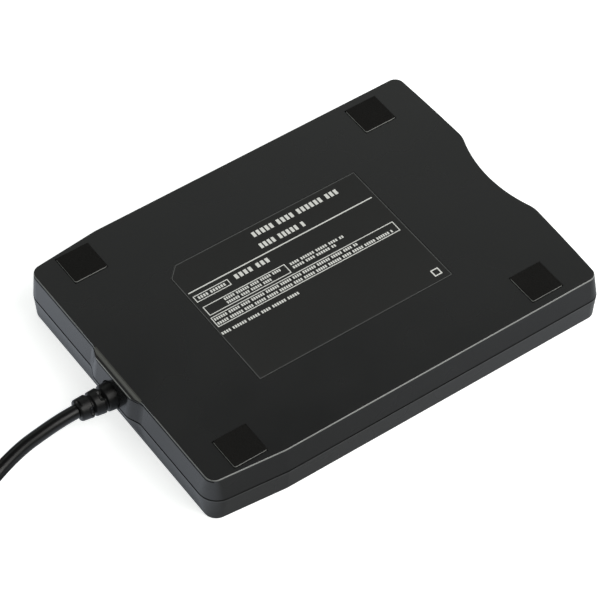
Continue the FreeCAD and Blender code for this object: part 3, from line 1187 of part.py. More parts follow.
def cord_route():
    """The hand-set points of the lead from the strain relief to the coil."""
    start = Vector(0, BOSS_Y + SEAT_GAP + RELIEF_LENGTH, RELIEF_Z)
    return [start, Vector(0, 92.0, RELIEF_Z), Vector(0.2, 100.0, 9.5), Vector(-0.9, 110.0, 7.1),
            Vector(-3.8, 121.5, 4.4), Vector(-9.4, 133.0, 2.9), Vector(-15.0, 146.0, 2.95),
            Vector(-16.3, 160.0, 3.3)]


def tail_route():
    """The hand-set points of the lead from the coil to the plug."""
    return [Vector(32.4, 164.0, 3.3), Vector(32.9, 150.0, 3.0), Vector(37.5, 137.5, 2.9),
            Vector(46.6, 128.0, PLUG_MID_Z), Vector(57.0, 121.0, PLUG_MID_Z)]


def sweep(points, diameter):
    """A round rod along straight runs joined by tangent arcs, its path's length and the arcs' radii."""
    radii = []
    edges = []
    here = points[0]
    for a, b, c in zip(points, points[1:], points[2:]):
        u = (b - a).normalize()
        v = (c - b).normalize()
        half = u.getAngle(v) / 2
        cut = ARC_SHARE * min((b - a).Length, (c - b).Length)
        radii.append(cut / math.tan(half))
        start, end = b - u * cut, b + v * cut
        bisector = (v - u).normalize()
        middle = b + bisector * (radii[-1] / math.cos(half) - radii[-1])
        edges.append(Part.LineSegment(here, start).toShape())
        edges.append(Part.Arc(start, middle, end).toShape())
        here = end
    edges.append(Part.LineSegment(here, points[-1]).toShape())
    path = Part.Wire(edges)
    section = Part.Wire([Part.makeCircle(diameter / 2, points[0], points[1] - points[0])])
    return path.makePipeShell([section], True, False), path.Length, radii


def tube(points):
    """A stretch of the lead along its route, with its length and bends printed."""
    solid, length, radii = sweep(points, CORD_DIAMETER)
    expected = math.pi * CORD_DIAMETER ** 2 / 4 * length
    print("cord length %.1f, radii %s" % (length, ", ".join("%.1f" % r for r in radii)))
    print("volume %.1f, section times length %.1f" % (solid.Volume, expected))
    return solid


def coil_section(grow):
    """The coil's section on its own side of the axis, grown all round, as x0, x1, z0, z1."""
    half = COIL_WIDTH_TURNS * CORD_DIAMETER / 2
    height = CORD_DIAMETER * COIL_LAYERS
    return (COIL_MEAN_RADIUS - half - grow, COIL_MEAN_RADIUS + half + grow, TIE_THICK - grow,
            TIE_THICK + height + grow)


def cord_coil():
    """The outer shape of the wound part of the lead, a round ring with rounded edges."""
    r0, r1, z0, z1 = coil_section(0)
    body = ring(COIL_X, COIL_Y, z0, z1, r1, r0)
    edge = CORD_DIAMETER / 2 - 0.3
    return body.makeFillet(edge, [e for e in body.Edges if e.BoundBox.ZLength < 0.01])


def cord_tie():
    """The tie strap round the coil."""
    r0, r1, z0, z1 = coil_section(TIE_THICK)
    band = ring(COIL_X, COIL_Y, z0, z1, r1, r0)
    edge = CORD_DIAMETER / 2 - 0.3 + TIE_THICK
    band = band.makeFillet(edge, [e for e in band.Edges if e.BoundBox.ZLength < 0.01])
    half = TIE_WIDTH / 2
    band = band.common(box(COIL_X - half, COIL_X + half, COIL_Y, COIL_Y + r1 + 5, -1, 40))
    return band.cut(cord_coil())


def plug_place(shape):
    """Moves a plug piece, drawn along +Y from its cord end, to the end of the tail."""
    before, end = tail_route()[-2:]
    heading = math.degrees(math.atan2(end.y - before.y, end.x - before.x)) - 90
    shape.rotate(Vector(0, 0, 0), Vector(0, 0, 1), heading)
    shape.translate(Vector(end.x, end.y, 0))
    return shape


def usb_plug_grip():
    """The moulded grip of the plug, with its tapered cord end."""
    wide, long, high = PLUG_GRIP
    neck = 9.0
    grip = box(-wide / 2, wide / 2, neck, neck + long, PLUG_MID_Z - high / 2, PLUG_MID_Z + high / 2)
    grip = grip.makeFillet(1.6, [e for e in grip.Edges if e.BoundBox.YLength > long - 0.1])
    cone = Part.makeCone(CORD_DIAMETER / 2 + 0.8, high / 2 - 0.3, neck + 0.5, Vector(0, 0, PLUG_MID_Z),
                         Vector(0, 1, 0))
    slots = [box(-6, 6, y, y + 0.8, PLUG_MID_Z + 2.2, 12) for y in (2.5, 5.0)]
    pocket = box(-PLUG_SHELL[0] / 2, PLUG_SHELL[0] / 2, neck + long - 3, neck + long + 1,
                 PLUG_MID_Z - PLUG_SHELL[2] / 2, PLUG_MID_Z + PLUG_SHELL[2] / 2)
    return plug_place(carve(join([grip, cone]), slots + [pocket]))


def shell_y():
    """Where the plug's metal shell starts, inside the grip."""
    return 9.0 + PLUG_GRIP[1] - 3.0


def usb_plug_shell():
    """The metal shell of the plug with its latch windows."""
    wide, long, high = PLUG_SHELL
    y0 = shell_y()
    z0, z1 = PLUG_MID_Z - high / 2, PLUG_MID_Z + high / 2
    shell = box(-wide / 2, wide / 2, y0, y0 + long, z0, z1)
    inside = box(-wide / 2 + PLUG_SHEET, wide / 2 - PLUG_SHEET, y0 - 1, y0 + long + 1, z0 + PLUG_SHEET,
                 z1 - PLUG_SHEET)
    cuts = [inside]
    for x in (-3.2, 3.2):
        cuts.append(box(x - 1.2, x + 1.2, y0 + long - 8, y0 + long - 5.5, -1, 12))
    return plug_place(carve(shell, cuts))


def usb_plug_tongue():
    """The insulator inside the shell with its four contacts."""
    wide, long, high = PLUG_SHELL
    y0 = shell_y()
    z0 = PLUG_MID_Z - high / 2 + PLUG_SHEET
    block = box(-wide / 2 + PLUG_SHEET, wide / 2 - PLUG_SHEET, y0, y0 + long - 0.6, z0, z0 + 1.8)
    root = box(-wide / 2 + PLUG_SHEET, wide / 2 - PLUG_SHEET, y0, y0 + 6, z0,
               z0 + high - 2 * PLUG_SHEET)
    grooves = [box(x - 0.55, x + 0.55, y0 + 6, y0 + long - 1.6, z0 + 1.55, z0 + 3)
               for x in (-3.5, -1.0, 1.0, 3.5)]
    return plug_place(carve(join([block, root]), grooves))


def usb_plug_contacts():
    """The four gilt contacts in the tongue's grooves."""
    long = PLUG_SHELL[1]
    y0 = shell_y()
    z0 = PLUG_MID_Z - PLUG_SHELL[2] / 2 + PLUG_SHEET + 1.55
    bars = [box(x - 0.5, x + 0.5, y0 + 6.1, y0 + long - 1.8, z0, z0 + 0.2) for x in (-3.5, -1.0, 1.0, 3.5)]
    return plug_place(Part.makeCompound(bars))


def main():
    """Builds every piece and writes it to parts/."""
    os.makedirs("parts", exist_ok=True)
    pieces = {
        "top_cover": top_cover(), "bottom_cover": bottom_cover(), "case_screws": case_screws(),
        "slot_flap": slot_flap(), "flap_spring": flap_spring(), "eject_button": eject_button(),
        "light_pipe": light_pipe(), "chassis": chassis(), "shield_cover": shield_cover(),
        "chassis_screws": chassis_screws(), "disk_carrier": disk_carrier(),
        "slider_plate": slider_plate(), "slider_springs": slider_springs(), "latch_lever": latch_lever(),
        "lever_spring": lever_spring(), "main_board": main_board(),
        "board_components": board_components(), "board_screws": board_screws(),
        "front_board": front_board(), "status_led": status_led(), "disk_switches": disk_switches(),
        "motor_board": motor_board(), "spindle_bearing": spindle_bearing(),
        "stator_core": stator_core(), "stator_coils": stator_coils(), "spindle_rotor": spindle_rotor(),
        "rotor_magnet": rotor_magnet(), "spindle_hub": spindle_hub(), "spindle_shaft": spindle_shaft(),
        "drive_pin": drive_pin(), "position_sensors": position_sensors(),
        "stepper_motor": stepper_motor(), "stepper_bracket": stepper_bracket(),
        "lead_screw": lead_screw(), "guide_rods": guide_rods(), "rod_clamps": rod_clamps(),
        "head_carriage": head_carriage(), "lower_head": lower_head(), "upper_head_arm": upper_arm(),
        "upper_head": upper_head(), "head_ribbon": head_ribbon(), "drive_ribbon": drive_ribbon(),
        "ribbon_sockets": ribbon_sockets(), "bridge_board": bridge_board(),
        "bridge_components": bridge_components(), "cable_wires": cable_wires(),
        "strain_relief": strain_relief(), "usb_cord": tube(cord_route()),
        "cord_coil": cord_coil(), "cord_tail": tube(tail_route()),
        "cord_tie": cord_tie(), "usb_plug_grip": usb_plug_grip(), "usb_plug_shell": usb_plug_shell(),
        "usb_plug_tongue": usb_plug_tongue(), "usb_plug_contacts": usb_plug_contacts(),
    }
    pieces["label_plate"] = label_outline(0.15, 0)
    for number, x in enumerate(SWITCH_X, 1):
        pieces["switch_plunger_%d" % number] = switch_plunger(x)
    pads = [foot(side * FOOT_X, y) for side in (1, -1) for y in FOOT_Y]
    pieces["feet"] = Part.makeCompound(pads)
    for name, shape in pieces.items():
        export(name, shape)
        print("%-20s solids %d valid %s" % (name, len(shape.Solids), shape.isValid()))


main()
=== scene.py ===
"""Dresses the external floppy disk drive.

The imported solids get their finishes, and the pieces with a softer or finer shape than a solid has are
made here: the lead, its sleeve, strap and plug grip, the rubber feet, the print, the springs and the
screw's thread.
"""
import logging
import math
from dataclasses import dataclass
from enum import Enum
from typing import Any

import bpy
import numpy as np
from bpy.types import Material, Node, NodeSocket, NodeTree, Object
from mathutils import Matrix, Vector


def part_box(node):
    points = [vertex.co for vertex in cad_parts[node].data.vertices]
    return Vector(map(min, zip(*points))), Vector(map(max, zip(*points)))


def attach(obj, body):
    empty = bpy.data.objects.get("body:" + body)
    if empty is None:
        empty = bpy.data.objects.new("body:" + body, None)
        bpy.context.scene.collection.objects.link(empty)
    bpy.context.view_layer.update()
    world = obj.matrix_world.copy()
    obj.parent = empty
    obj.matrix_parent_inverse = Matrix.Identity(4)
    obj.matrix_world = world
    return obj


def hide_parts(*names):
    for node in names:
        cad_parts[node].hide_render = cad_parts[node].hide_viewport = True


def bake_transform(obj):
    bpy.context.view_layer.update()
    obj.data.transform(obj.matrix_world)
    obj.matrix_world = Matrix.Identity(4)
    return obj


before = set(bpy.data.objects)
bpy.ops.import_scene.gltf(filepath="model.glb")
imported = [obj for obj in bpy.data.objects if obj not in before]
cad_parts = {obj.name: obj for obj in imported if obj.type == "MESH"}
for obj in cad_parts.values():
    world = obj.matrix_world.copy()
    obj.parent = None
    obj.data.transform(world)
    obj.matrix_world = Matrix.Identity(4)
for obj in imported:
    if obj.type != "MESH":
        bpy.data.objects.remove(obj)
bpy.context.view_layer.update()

LOG = logging.getLogger("drive")
MM = 0.001


# --- colour, nodes and meshes ---

def linear(colour: str) -> tuple[float, float, float, float]:
    """Turns an sRGB hex colour to linear light.

    Args:
        colour: six hex digits, with or without a hash sign.

    Returns:
        Red, green, blue and an alpha of 1.
    """
    digits = colour.lstrip("#")
    parts = [int(digits[i:i + 2], 16) / 255 for i in (0, 2, 4)]
    red, green, blue = (c / 12.92 if c <= 0.04045 else ((c + 0.055) / 1.055) ** 2.4 for c in parts)
    return red, green, blue, 1.0


def add(tree: NodeTree, kind: str, sockets: dict[Any, Any] | None = None,
        **settings: Any) -> Node:
    """Adds a node, sets its properties, and fills or links its inputs.

    Args:
        tree: the tree that gets the node.
        kind: the node's type, without the words ShaderNode.
        sockets: input name or number, and its value or the output linked to it.
        settings: the node's own properties.

    Returns:
        The new node.
    """
    made = tree.nodes.new("ShaderNode" + kind)
    for name, value in settings.items():
        setattr(made, name, value)
    for name, value in (sockets or {}).items():
        if isinstance(value, NodeSocket):
            tree.links.new(value, made.inputs[name])
        else:
            made.inputs[name].default_value = value
    return made


def mesh_piece(name: str, points: np.ndarray, faces: list, smooth: bool = True) -> Object:
    """Makes an object from points in millimetres and faces.

    Args:
        name: the piece's name.
        points: an array of n points by 3.
        faces: tuples of point numbers.
        smooth: whether the faces are shaded smooth.

    Returns:
        The object, at the origin, with its place in its mesh.
    """
    mesh = bpy.data.meshes.new(name)
    mesh.from_pydata((np.asarray(points, float) * MM).tolist(), [], faces)
    mesh.validate()
    mesh.polygons.foreach_set("use_smooth", np.full(len(mesh.polygons), smooth))
    mesh.update()
    piece = bpy.data.objects.new(name, mesh)
    bpy.context.scene.collection.objects.link(piece)
    return piece


def grid_faces(rows: int, columns: int, start: int = 0, round_rows: bool = False) -> list:
    """Quads of a grid whose columns close on themselves.

    Args:
        rows: how many rings of points there are.
        columns: how many points each ring has.
        start: the number of the first point.
        round_rows: whether the last ring joins the first.

    Returns:
        Faces as tuples of four point numbers.
    """
    last = rows if round_rows else rows - 1
    i, j = np.meshgrid(np.arange(last), np.arange(columns), indexing="ij")
    below, right = (i + 1) % rows, (j + 1) % columns
    quads = np.stack([i * columns + j, i * columns + right, below * columns + right,
                      below * columns + j], -1).reshape(-1, 4) + start
    return [tuple(q) for q in quads.tolist()]


def lofted(name: str, rings: np.ndarray, flip: bool = False, sharp: float = 40.0) -> Object:
    """A closed skin over rings of points, with both ends covered.

    Args:
        name: the piece's name.
        rings: points as rows by columns by 3, in millimetres.
        flip: whether the faces are turned round, so that they point outwards.
        sharp: the angle in degrees above which an edge stays crisp.

    Returns:
        The object.
    """
    rows, columns = rings.shape[:2]
    faces = grid_faces(rows, columns)
    faces.append(tuple(range(columns))[::-1])
    faces.append(tuple(range((rows - 1) * columns, rows * columns)))
    if flip:
        faces = [f[::-1] for f in faces]
    piece = mesh_piece(name, rings.reshape(-1, 3), faces)
    piece.data.set_sharp_from_angle(angle=math.radians(sharp))
    return piece


def helix(name: str, axis: int, centre: tuple, radius: float, wire: float, ends: tuple[float, float],
          turns: float, columns: int = 10) -> Object:
    """A wound wire: a round section carried along a helix.

    A point of the line is the centre plus the radius at the turned angle, moved evenly along the axis.
    The section stands on the outward direction and on what is square to it and to the line.

    Args:
        name: the piece's name.
        axis: 0, 1 or 2 for X, Y or Z.
        centre: any point of the axis, in millimetres.
        radius: of the wire's centre line.
        wire: the wire's diameter.
        ends: where the wire starts and stops along the axis.
        turns: how many times it goes round.
        columns: points round the wire.

    Returns:
        The object.
    """
    angle = np.linspace(0, 2 * math.pi * turns, max(int(turns * 20), 12))
    out = np.zeros((len(angle), 3))
    out[:, (axis + 1) % 3] = np.cos(angle)
    out[:, (axis + 2) % 3] = np.sin(angle)
    line = np.array(centre) + radius * out
    line[:, axis] = np.linspace(ends[0], ends[1], len(angle))
    tangent = np.gradient(line, axis=0)
    tangent /= np.linalg.norm(tangent, axis=1, keepdims=True)
    square = np.cross(tangent, out)
    around = np.linspace(0, 2 * math.pi, columns, endpoint=False)[None, :, None]
    rings = line[:, None] + wire / 2 * (np.cos(around) * out[:, None] + np.sin(around) * square[:, None])
    return lofted(name, rings, flip=True)


def eased(share: np.ndarray) -> np.ndarray:
    """A smooth step: 3 s^2 - 2 s^3 of a share, held between 0 and 1.

    Args:
        share: how far along the step a place is.

    Returns:
        Values from 0 to 1.
    """
    share = np.clip(share, 0, 1)
    return share * share * (3 - 2 * share)


def within(distance: np.ndarray, half: float, soft: float) -> np.ndarray:
    """1 inside a half width and 0 outside, with soft edges: 1 / (1 + e^((|d| - h) / s)).

    Args:
        distance: from the middle.
        half: half the width.
        soft: how far the edge is spread.

    Returns:
        Values from 0 to 1.
    """
    return 1 / (1 + np.exp((np.abs(distance) - half) / soft))


def rounded_square(half: float, corner: float, count: int = 9) -> np.ndarray:
    """The outline of a square with round corners, counter-clockwise.

    Args:
        half: half the square's width.
        corner: the corner's radius.
        count: points on each corner.

    Returns:
        Points as n by 2.
    """
    quarter = np.arange(4) * math.pi / 2
    turn = np.linspace(0, math.pi / 2, count)[None, :] + quarter[:, None]
    quarter += math.pi / 4
    middle = math.sqrt(2) * (half - corner) * np.stack([np.cos(quarter), np.sin(quarter)], -1)
    return (middle[:, None] + corner * np.stack([np.cos(turn), np.sin(turn)], -1)).reshape(-1, 2)


# --- finishes ---

class Pattern(Enum):
    """What a surface shows close up."""

    GRAIN = "fine even grain of a sparked or blasted mould"
    BRUSHED = "long marks of rolling, drawing or grinding"
    SPANGLE = "crystals of a zinc coat"
    CELLS = "open cells of sponge rubber"
    TRACKS = "copper tracks under solder mask"
    WOUND = "turns of wire side by side"
    FIBRE = "loops and fibres of a woven strap"


# millimetres: past every piece, and the fade of an edge that looks sharp
FAR = 500.0
CRISP = 0.04


@dataclass(frozen=True)
class Band:
    """A box in the piece's own place, in millimetres, where painted shade, a painted highlight or a layer
    of another colour changes the surface.

    A roughness of 0 leaves the piece's own. The change fades out along X and Y over the soft length.
    """

    colour: str
    strength: float
    z: tuple[float, float]
    x: tuple[float, float] = (-FAR, FAR)
    y: tuple[float, float] = (-FAR, FAR)
    rough: float = 0.0
    soft: float = CRISP


@dataclass(frozen=True)
class Finish:
    """One surface, named for what it is made of and how it was made."""

    name: str
    colour: str
    second: str
    share: float
    pattern: Pattern
    size_mm: float
    depth_mm: float
    roughness: float
    spread: float = 0.08
    metallic: float = 0.0
    ior: float = 1.5
    clear: float = 0.0
    along: tuple[float, float, float] = (1.0, 1.0, 1.0)
    bands: tuple[Band, ...] = ()

    def drawn(self, tree: NodeTree, place: NodeSocket) -> tuple[Any, Any]:
        """Draws the pattern.

        Args:
            tree: the material's tree.
            place: the output that holds the place in metres.

        Returns:
            The outputs that mix in the second colour and that raise the surface.
        """
        scale = 1.0 / (self.size_mm * MM)
        mapped = add(tree, "Mapping", {"Vector": place, "Scale": self.along}).outputs[0]
        fine = add(tree, "TexNoise", {"Vector": mapped, "Scale": scale, "Detail": 3.0})
        # a wave node turns once round in a twentieth of tau, so this repeats once per size_mm
        wave = scale * math.tau / 20
        if self.pattern is Pattern.GRAIN or self.pattern is Pattern.BRUSHED:
            return fine.outputs[0], fine.outputs[0]
        if self.pattern is Pattern.WOUND:
            # bands one wire apart, with round backs
            bands = add(tree, "TexWave", {"Vector": mapped, "Scale": wave, "Distortion": 0.4,
                                          "Detail": 1.0}, wave_profile="SIN")
            return bands.outputs["Fac"], bands.outputs["Fac"]
        if self.pattern is Pattern.TRACKS:
            # bands bent by a coarse noise, cut to narrow lines
            bands = add(tree, "TexWave", {"Vector": mapped, "Scale": wave, "Distortion": 9.0,
                                          "Detail": 0.0, "Detail Scale": 0.4}, wave_profile="TRI")
            lines = add(tree, "MapRange", {0: bands.outputs["Fac"], 1: 0.62, 2: 0.72})
            return lines.outputs[0], lines.outputs[0]
        cells = add(tree, "TexVoronoi", {"Vector": mapped, "Scale": scale})
        if self.pattern is Pattern.SPANGLE:
            return cells.outputs["Color"], fine.outputs[0]
        if self.pattern is Pattern.FIBRE:
            return cells.outputs["Distance"], cells.outputs["Distance"]
        open_cells = add(tree, "MapRange", {0: cells.outputs["Distance"], 1: 0.1, 2: 0.6})
        return fine.outputs[0], open_cells.outputs[0]

    def share_of(self, tree: NodeTree, place: NodeSocket, band: Band,
                 worn: NodeSocket) -> NodeSocket:
        """How much of a band's colour a place takes.

        Along each axis the share is 1 between the band's two ends and fades to 0 beyond them. The fade
        is always crisp along Z. The three shares are multiplied, then made a little uneven.

        Args:
            tree: the material's tree.
            place: the output that holds the place in metres.
            band: the band.
            worn: a slow noise between 0 and 1.

        Returns:
            The output with the share.
        """
        parts = add(tree, "SeparateXYZ", {0: place})
        total = add(tree, "MapRange", {0: worn, 1: 0.3, 2: 0.7, 3: 0.75 * band.strength,
                                       4: band.strength}).outputs[0]
        for axis, (low, high), fade in (("X", band.x, band.soft), ("Y", band.y, band.soft),
                                        ("Z", band.z, CRISP)):
            for end, beyond in ((low, low - fade), (high, high + fade)):
                if abs(end) < FAR:
                    inside = add(tree, "MapRange", {0: parts.outputs[axis], 1: beyond * MM, 2: end * MM})
                    total = add(tree, "Math", {0: total, 1: inside.outputs[0]},
                                operation="MULTIPLY").outputs[0]
        return total

    def material(self) -> Material:
        """Makes the material, once for each finish.

        Returns:
            The material, with its colour, roughness and relief from its nodes.
        """
        found = bpy.data.materials.get(self.name)
        if found is not None:
            return found
        made = bpy.data.materials.new(self.name)
        made.use_nodes = True
        tree = made.node_tree
        tree.nodes.clear()
        place = add(tree, "TexCoord").outputs["Object"]
        mask, height = self.drawn(tree, place)
        # slow change of tone over about 25 mm, as flow in the mould or handling leaves it
        slow = add(tree, "TexNoise", {"Vector": place, "Scale": 40.0, "Detail": 2.0}).outputs[0]
        tone = add(tree, "Math", {0: mask, 1: slow}, operation="MULTIPLY").outputs[0]
        amount = add(tree, "MapRange", {0: tone, 1: 0.05, 2: 0.6, 4: self.share}).outputs[0]
        colour = add(tree, "Mix", {0: amount, 6: linear(self.colour), 7: linear(self.second)},
                     data_type="RGBA").outputs[2]
        rough = add(tree, "MapRange", {0: slow, 1: 0.3, 2: 0.7, 3: self.roughness - self.spread / 2,
                                       4: self.roughness + self.spread / 2}).outputs[0]
        for band in self.bands:
            share = self.share_of(tree, place, band, slow)
            colour = add(tree, "Mix", {0: share, 6: colour, 7: linear(band.colour)},
                         data_type="RGBA").outputs[2]
            if band.rough:
                rough = add(tree, "Mix", {0: share, 2: rough, 3: band.rough}).outputs[0]
        relief = add(tree, "Bump", {"Height": height, "Distance": self.depth_mm * MM}).outputs[0]
        shader = add(tree, "BsdfPrincipled", {"Base Color": colour, "Roughness": rough, "Normal": relief,
                                              "Metallic": self.metallic, "IOR": self.ior,
                                              "Transmission Weight": self.clear})
        add(tree, "OutputMaterial", {"Surface": shader.outputs[0]})
        return made


# Acrylonitrile butadiene styrene, moulded in a fine sparked tool: charcoal, satin, hardly any relief.
# The rims of the face carry a faint pale line all round and a painted highlight, strongest on the long side
# towards the key lamp and along the rear rim. The boss's outer rim has a painted highlight, the slope over
# the lead a painted sheen and the ledge beyond it painted shade. Painted shade darkens the walls just below
# the rear rim and the boss's rim and fills the parting groove, whose lower lip has a painted highlight.
RIM, GROOVE, GROOVE_LIP, BOSS_SPAN = (18.04, 18.33), (9.12, 9.7), (8.86, 9.06), (-12.6, 12.6)
CASE_ABS = Finish("moulded_charcoal_abs", "171718", "202021", 0.7, Pattern.GRAIN, 0.45, 0.006, 0.26,
                  ior=1.46, bands=(
                      # painted shade: a dark line on the rear wall just below the rim
                      Band("020202", 1.0, (17.35, 17.9), x=(-50.5, FAR), y=(69.0, 70.85), rough=0.95),
                      # a faint pale line on every rim, and a painted highlight on the long side towards the
                      # key lamp
                      Band("9c9d9c", 0.1, RIM), Band("9c9d9c", 0.8, RIM, x=(-FAR, -50.8), soft=4.0),
                      # painted highlight on the rear rim
                      Band("8f908f", 0.65, RIM, x=(-48.6, FAR), y=(69.7, FAR)),
                      # painted sheen on the slope over the lead, and painted shade on the ledge beyond it
                      Band("4c4c48", 1.0, (17.9, 18.39), x=BOSS_SPAN, y=(70.0, FAR)),
                      Band("0a0a0a", 0.9, (17.8, 17.86), x=BOSS_SPAN, y=(71.35, 72.0), rough=0.8),
                      # painted highlight on the boss's outer rim, and painted shade on the boss wall below
                      # it
                      Band("9c9d9c", 0.9, (17.66, 17.84), y=(72.04, FAR)),
                      Band("020202", 1.0, (17.2, 17.58), y=(71.0, FAR), rough=0.95),
                      # painted shade in the parting groove, and a painted highlight on its lower lip
                      Band("020202", 1.0, GROOVE, rough=0.95), Band("565758", 0.7, GROOVE_LIP)))
FLAP_ABS = Finish("moulded_black_abs", "1a1b1c", "232425", 0.7, Pattern.GRAIN, 0.3, 0.004, 0.36, ior=1.52)
LABEL_FILM = Finish(
    "printed_polyester_film", "171717", "202020", 0.6, Pattern.GRAIN, 0.6, 0.002, 0.5, ior=1.48)
INK = Finish("screen_printed_white_ink", "e4e4e1", "b4b4b1", 0.45, Pattern.GRAIN, 0.35, 0.002, 0.55)
BORDER_INK = Finish("screen_printed_grey_ink", "5d5e5e", "3c3d3d", 0.8, Pattern.GRAIN, 0.9, 0.002, 0.55)
# Foamed rubber cut from a sheet on a pale carrier: open cells, and a pale band along the foot's lower side
# stands for the carrier and is also a painted highlight on the pad's edge.
SPONGE = Finish("black_sponge_rubber", "0b0b0a", "1b1918", 0.9, Pattern.CELLS, 0.5, 0.1, 0.88, ior=1.3,
                bands=(Band("a6a6a4", 0.9, (18.42, 18.72)),))
CORD_PVC = Finish("extruded_black_pvc", "0d0d0e", "161617", 0.7, Pattern.GRAIN, 0.7, 0.004, 0.3, ior=1.42)
RELIEF_PVC = Finish(
    "moulded_soft_black_pvc", "0a0a0b", "141414", 0.8, Pattern.GRAIN, 0.4, 0.008, 0.42, ior=1.38)
STRAP = Finish("woven_nylon_strap", "151515", "2b2b2b", 0.9, Pattern.FIBRE, 0.55, 0.12, 0.8, ior=1.53)
CLEAR = Finish(
    "moulded_clear_acrylic", "e4efe6", "c8dccb", 0.4, Pattern.GRAIN, 1.2, 0.001, 0.12, ior=1.49, clear=0.85)
ZINC_SHEET = Finish(
    "zinc_coated_sheet", "b9bcbc", "969a9b", 0.6, Pattern.SPANGLE, 5.0, 0.004, 0.38, metallic=1.0)
BRIGHT_SHEET = Finish(
    "rolled_stainless_sheet", "c9c8c4", "a9a8a4", 0.6, Pattern.BRUSHED, 0.3, 0.003, 0.3, metallic=1.0,
    along=(1.0, 0.04, 1.0))
GROUND_STEEL = Finish(
    "ground_steel_rod", "d2d2d0", "b2b2b0", 0.5, Pattern.BRUSHED, 0.2, 0.002, 0.18, metallic=1.0,
    along=(1.0, 0.15, 1.0))
SPRING_STEEL = Finish(
    "drawn_spring_wire", "b4b3ae", "8f8e89", 0.6, Pattern.BRUSHED, 0.2, 0.002, 0.3, metallic=1.0)
SCREW_ZINC = Finish(
    "blue_zinc_plated_steel", "b7bcc2", "8f949a", 0.6, Pattern.BRUSHED, 0.25, 0.002, 0.3, metallic=1.0)
LAMINATION = Finish(
    "varnished_silicon_steel", "5c6064", "47423c", 0.8, Pattern.BRUSHED, 0.35, 0.02, 0.5, metallic=1.0,
    along=(0.03, 0.03, 1.0))
FERRITE = Finish("bonded_ferrite", "2c2a29", "3c3a38", 0.8, Pattern.GRAIN, 0.25, 0.01, 0.7)
BRONZE = Finish("sintered_bronze", "a8793f", "7d5628", 0.8, Pattern.GRAIN, 0.12, 0.01, 0.42, metallic=1.0)
COPPER = Finish(
    "enamelled_copper_wire", "b8623a", "7f3a1c", 0.7, Pattern.WOUND, 0.2, 0.05, 0.28, metallic=1.0,
    along=(0.2, 0.2, 1.0))
GILT = Finish(
    "gilt_phosphor_bronze", "d8b25a", "b8923e", 0.4, Pattern.BRUSHED, 0.2, 0.001, 0.22, metallic=1.0,
    along=(1.0, 0.1, 1.0))
NICKEL = Finish(
    "nickel_plated_sheet", "b9b7b1", "a3a19b", 0.5, Pattern.BRUSHED, 0.25, 0.002, 0.32, metallic=1.0,
    along=(0.3, 0.3, 1.0))
SOLDER_MASK = Finish("green_solder_mask", "14502f", "1f7041", 0.9, Pattern.TRACKS, 2.4, 0.03, 0.3, ior=1.55)
EPOXY = Finish("black_moulding_epoxy", "1e1e1f", "2b2b2b", 0.7, Pattern.GRAIN, 0.3, 0.008, 0.6)
DARK_NYLON = Finish("black_switch_nylon", "202021", "2b2b2c", 0.6, Pattern.GRAIN, 0.4, 0.004, 0.45)
WHITE_POM = Finish("white_acetal", "dcdbd4", "c9c8c0", 0.5, Pattern.GRAIN, 0.6, 0.003, 0.36, ior=1.48)
IVORY_NYLON = Finish("ivory_socket_nylon", "cfc7b0", "b9b19a", 0.5, Pattern.GRAIN, 0.5, 0.004, 0.45)
GREY_PPS = Finish(
    "glass_filled_grey_plastic", "3b3c3f", "57585b", 0.7, Pattern.BRUSHED, 0.5, 0.006, 0.5, along=(1.0,
    0.2, 1.0))
CERAMIC = Finish("lapped_ceramic", "b9b3a4", "8b8577", 0.5, Pattern.GRAIN, 0.2, 0.001, 0.15, ior=1.7)
AMBER_FILM = Finish(
    "amber_polyimide_film", "b4671c", "8c4a10", 0.6, Pattern.BRUSHED, 0.5, 0.01, 0.25, ior=1.65,
    along=(0.1, 2.0, 1.0))
WHITE_FILM = Finish(
    "white_flat_cable_film", "d5d7da", "b5b8bd", 0.7, Pattern.BRUSHED, 1.0, 0.03, 0.3, along=(1.0, 0.05,
    0.05))
WIRE_PVC = Finish("red_wire_jacket", "8e2018", "6b140f", 0.5, Pattern.GRAIN, 0.6, 0.003, 0.35)
LED_RESIN = Finish(
    "tinted_led_resin", "7fc98a", "5aa868", 0.4, Pattern.GRAIN, 0.8, 0.001, 0.12, ior=1.55, clear=0.6)

NODE_FINISH: dict[str, Finish] = {name: finish for finish, names in (
    (CASE_ABS, "top_cover bottom_cover"), (LABEL_FILM, "label_plate"),
    (SCREW_ZINC, "case_screws chassis_screws board_screws"), (FLAP_ABS, "slot_flap eject_button"),
    (CLEAR, "light_pipe"), (LED_RESIN, "status_led"), (ZINC_SHEET, "chassis slider_plate stepper_bracket"),
    (BRIGHT_SHEET, "shield_cover disk_carrier upper_head_arm spindle_rotor stepper_motor"),
    (DARK_NYLON, "latch_lever disk_switches position_sensors rod_clamps"),
    (SOLDER_MASK, "main_board front_board motor_board bridge_board"),
    (EPOXY, "board_components bridge_components"),
    (WHITE_POM, "switch_plunger_1 switch_plunger_2 switch_plunger_3 usb_plug_tongue"),
    (BRONZE, "spindle_bearing"), (LAMINATION, "stator_core"), (COPPER, "stator_coils"),
    (FERRITE, "rotor_magnet"), (GROUND_STEEL, "spindle_hub spindle_shaft drive_pin lead_screw guide_rods"),
    (GREY_PPS, "head_carriage"), (CERAMIC, "lower_head upper_head"), (AMBER_FILM, "head_ribbon"),
    (WHITE_FILM, "drive_ribbon"), (IVORY_NYLON, "ribbon_sockets"), (WIRE_PVC, "cable_wires"),
    (NICKEL, "usb_plug_shell"), (GILT, "usb_plug_contacts"),
    (SPRING_STEEL, "flap_spring slider_springs lever_spring"), (RELIEF_PVC, "strain_relief usb_plug_grip"),
    (CORD_PVC, "usb_cord cord_coil cord_tail"), (STRAP, "cord_tie"), (SPONGE, "feet"),
) for name in names.split()}


def dress(piece: Object, finish: Finish) -> None:
    """Gives every slot of a piece one finish.

    Args:
        piece: the object to dress.
        finish: its surface.
    """
    made = finish.material()
    if not piece.material_slots:
        piece.data.materials.append(made)
    for slot in piece.material_slots:
        slot.material = made


# --- the lead ---

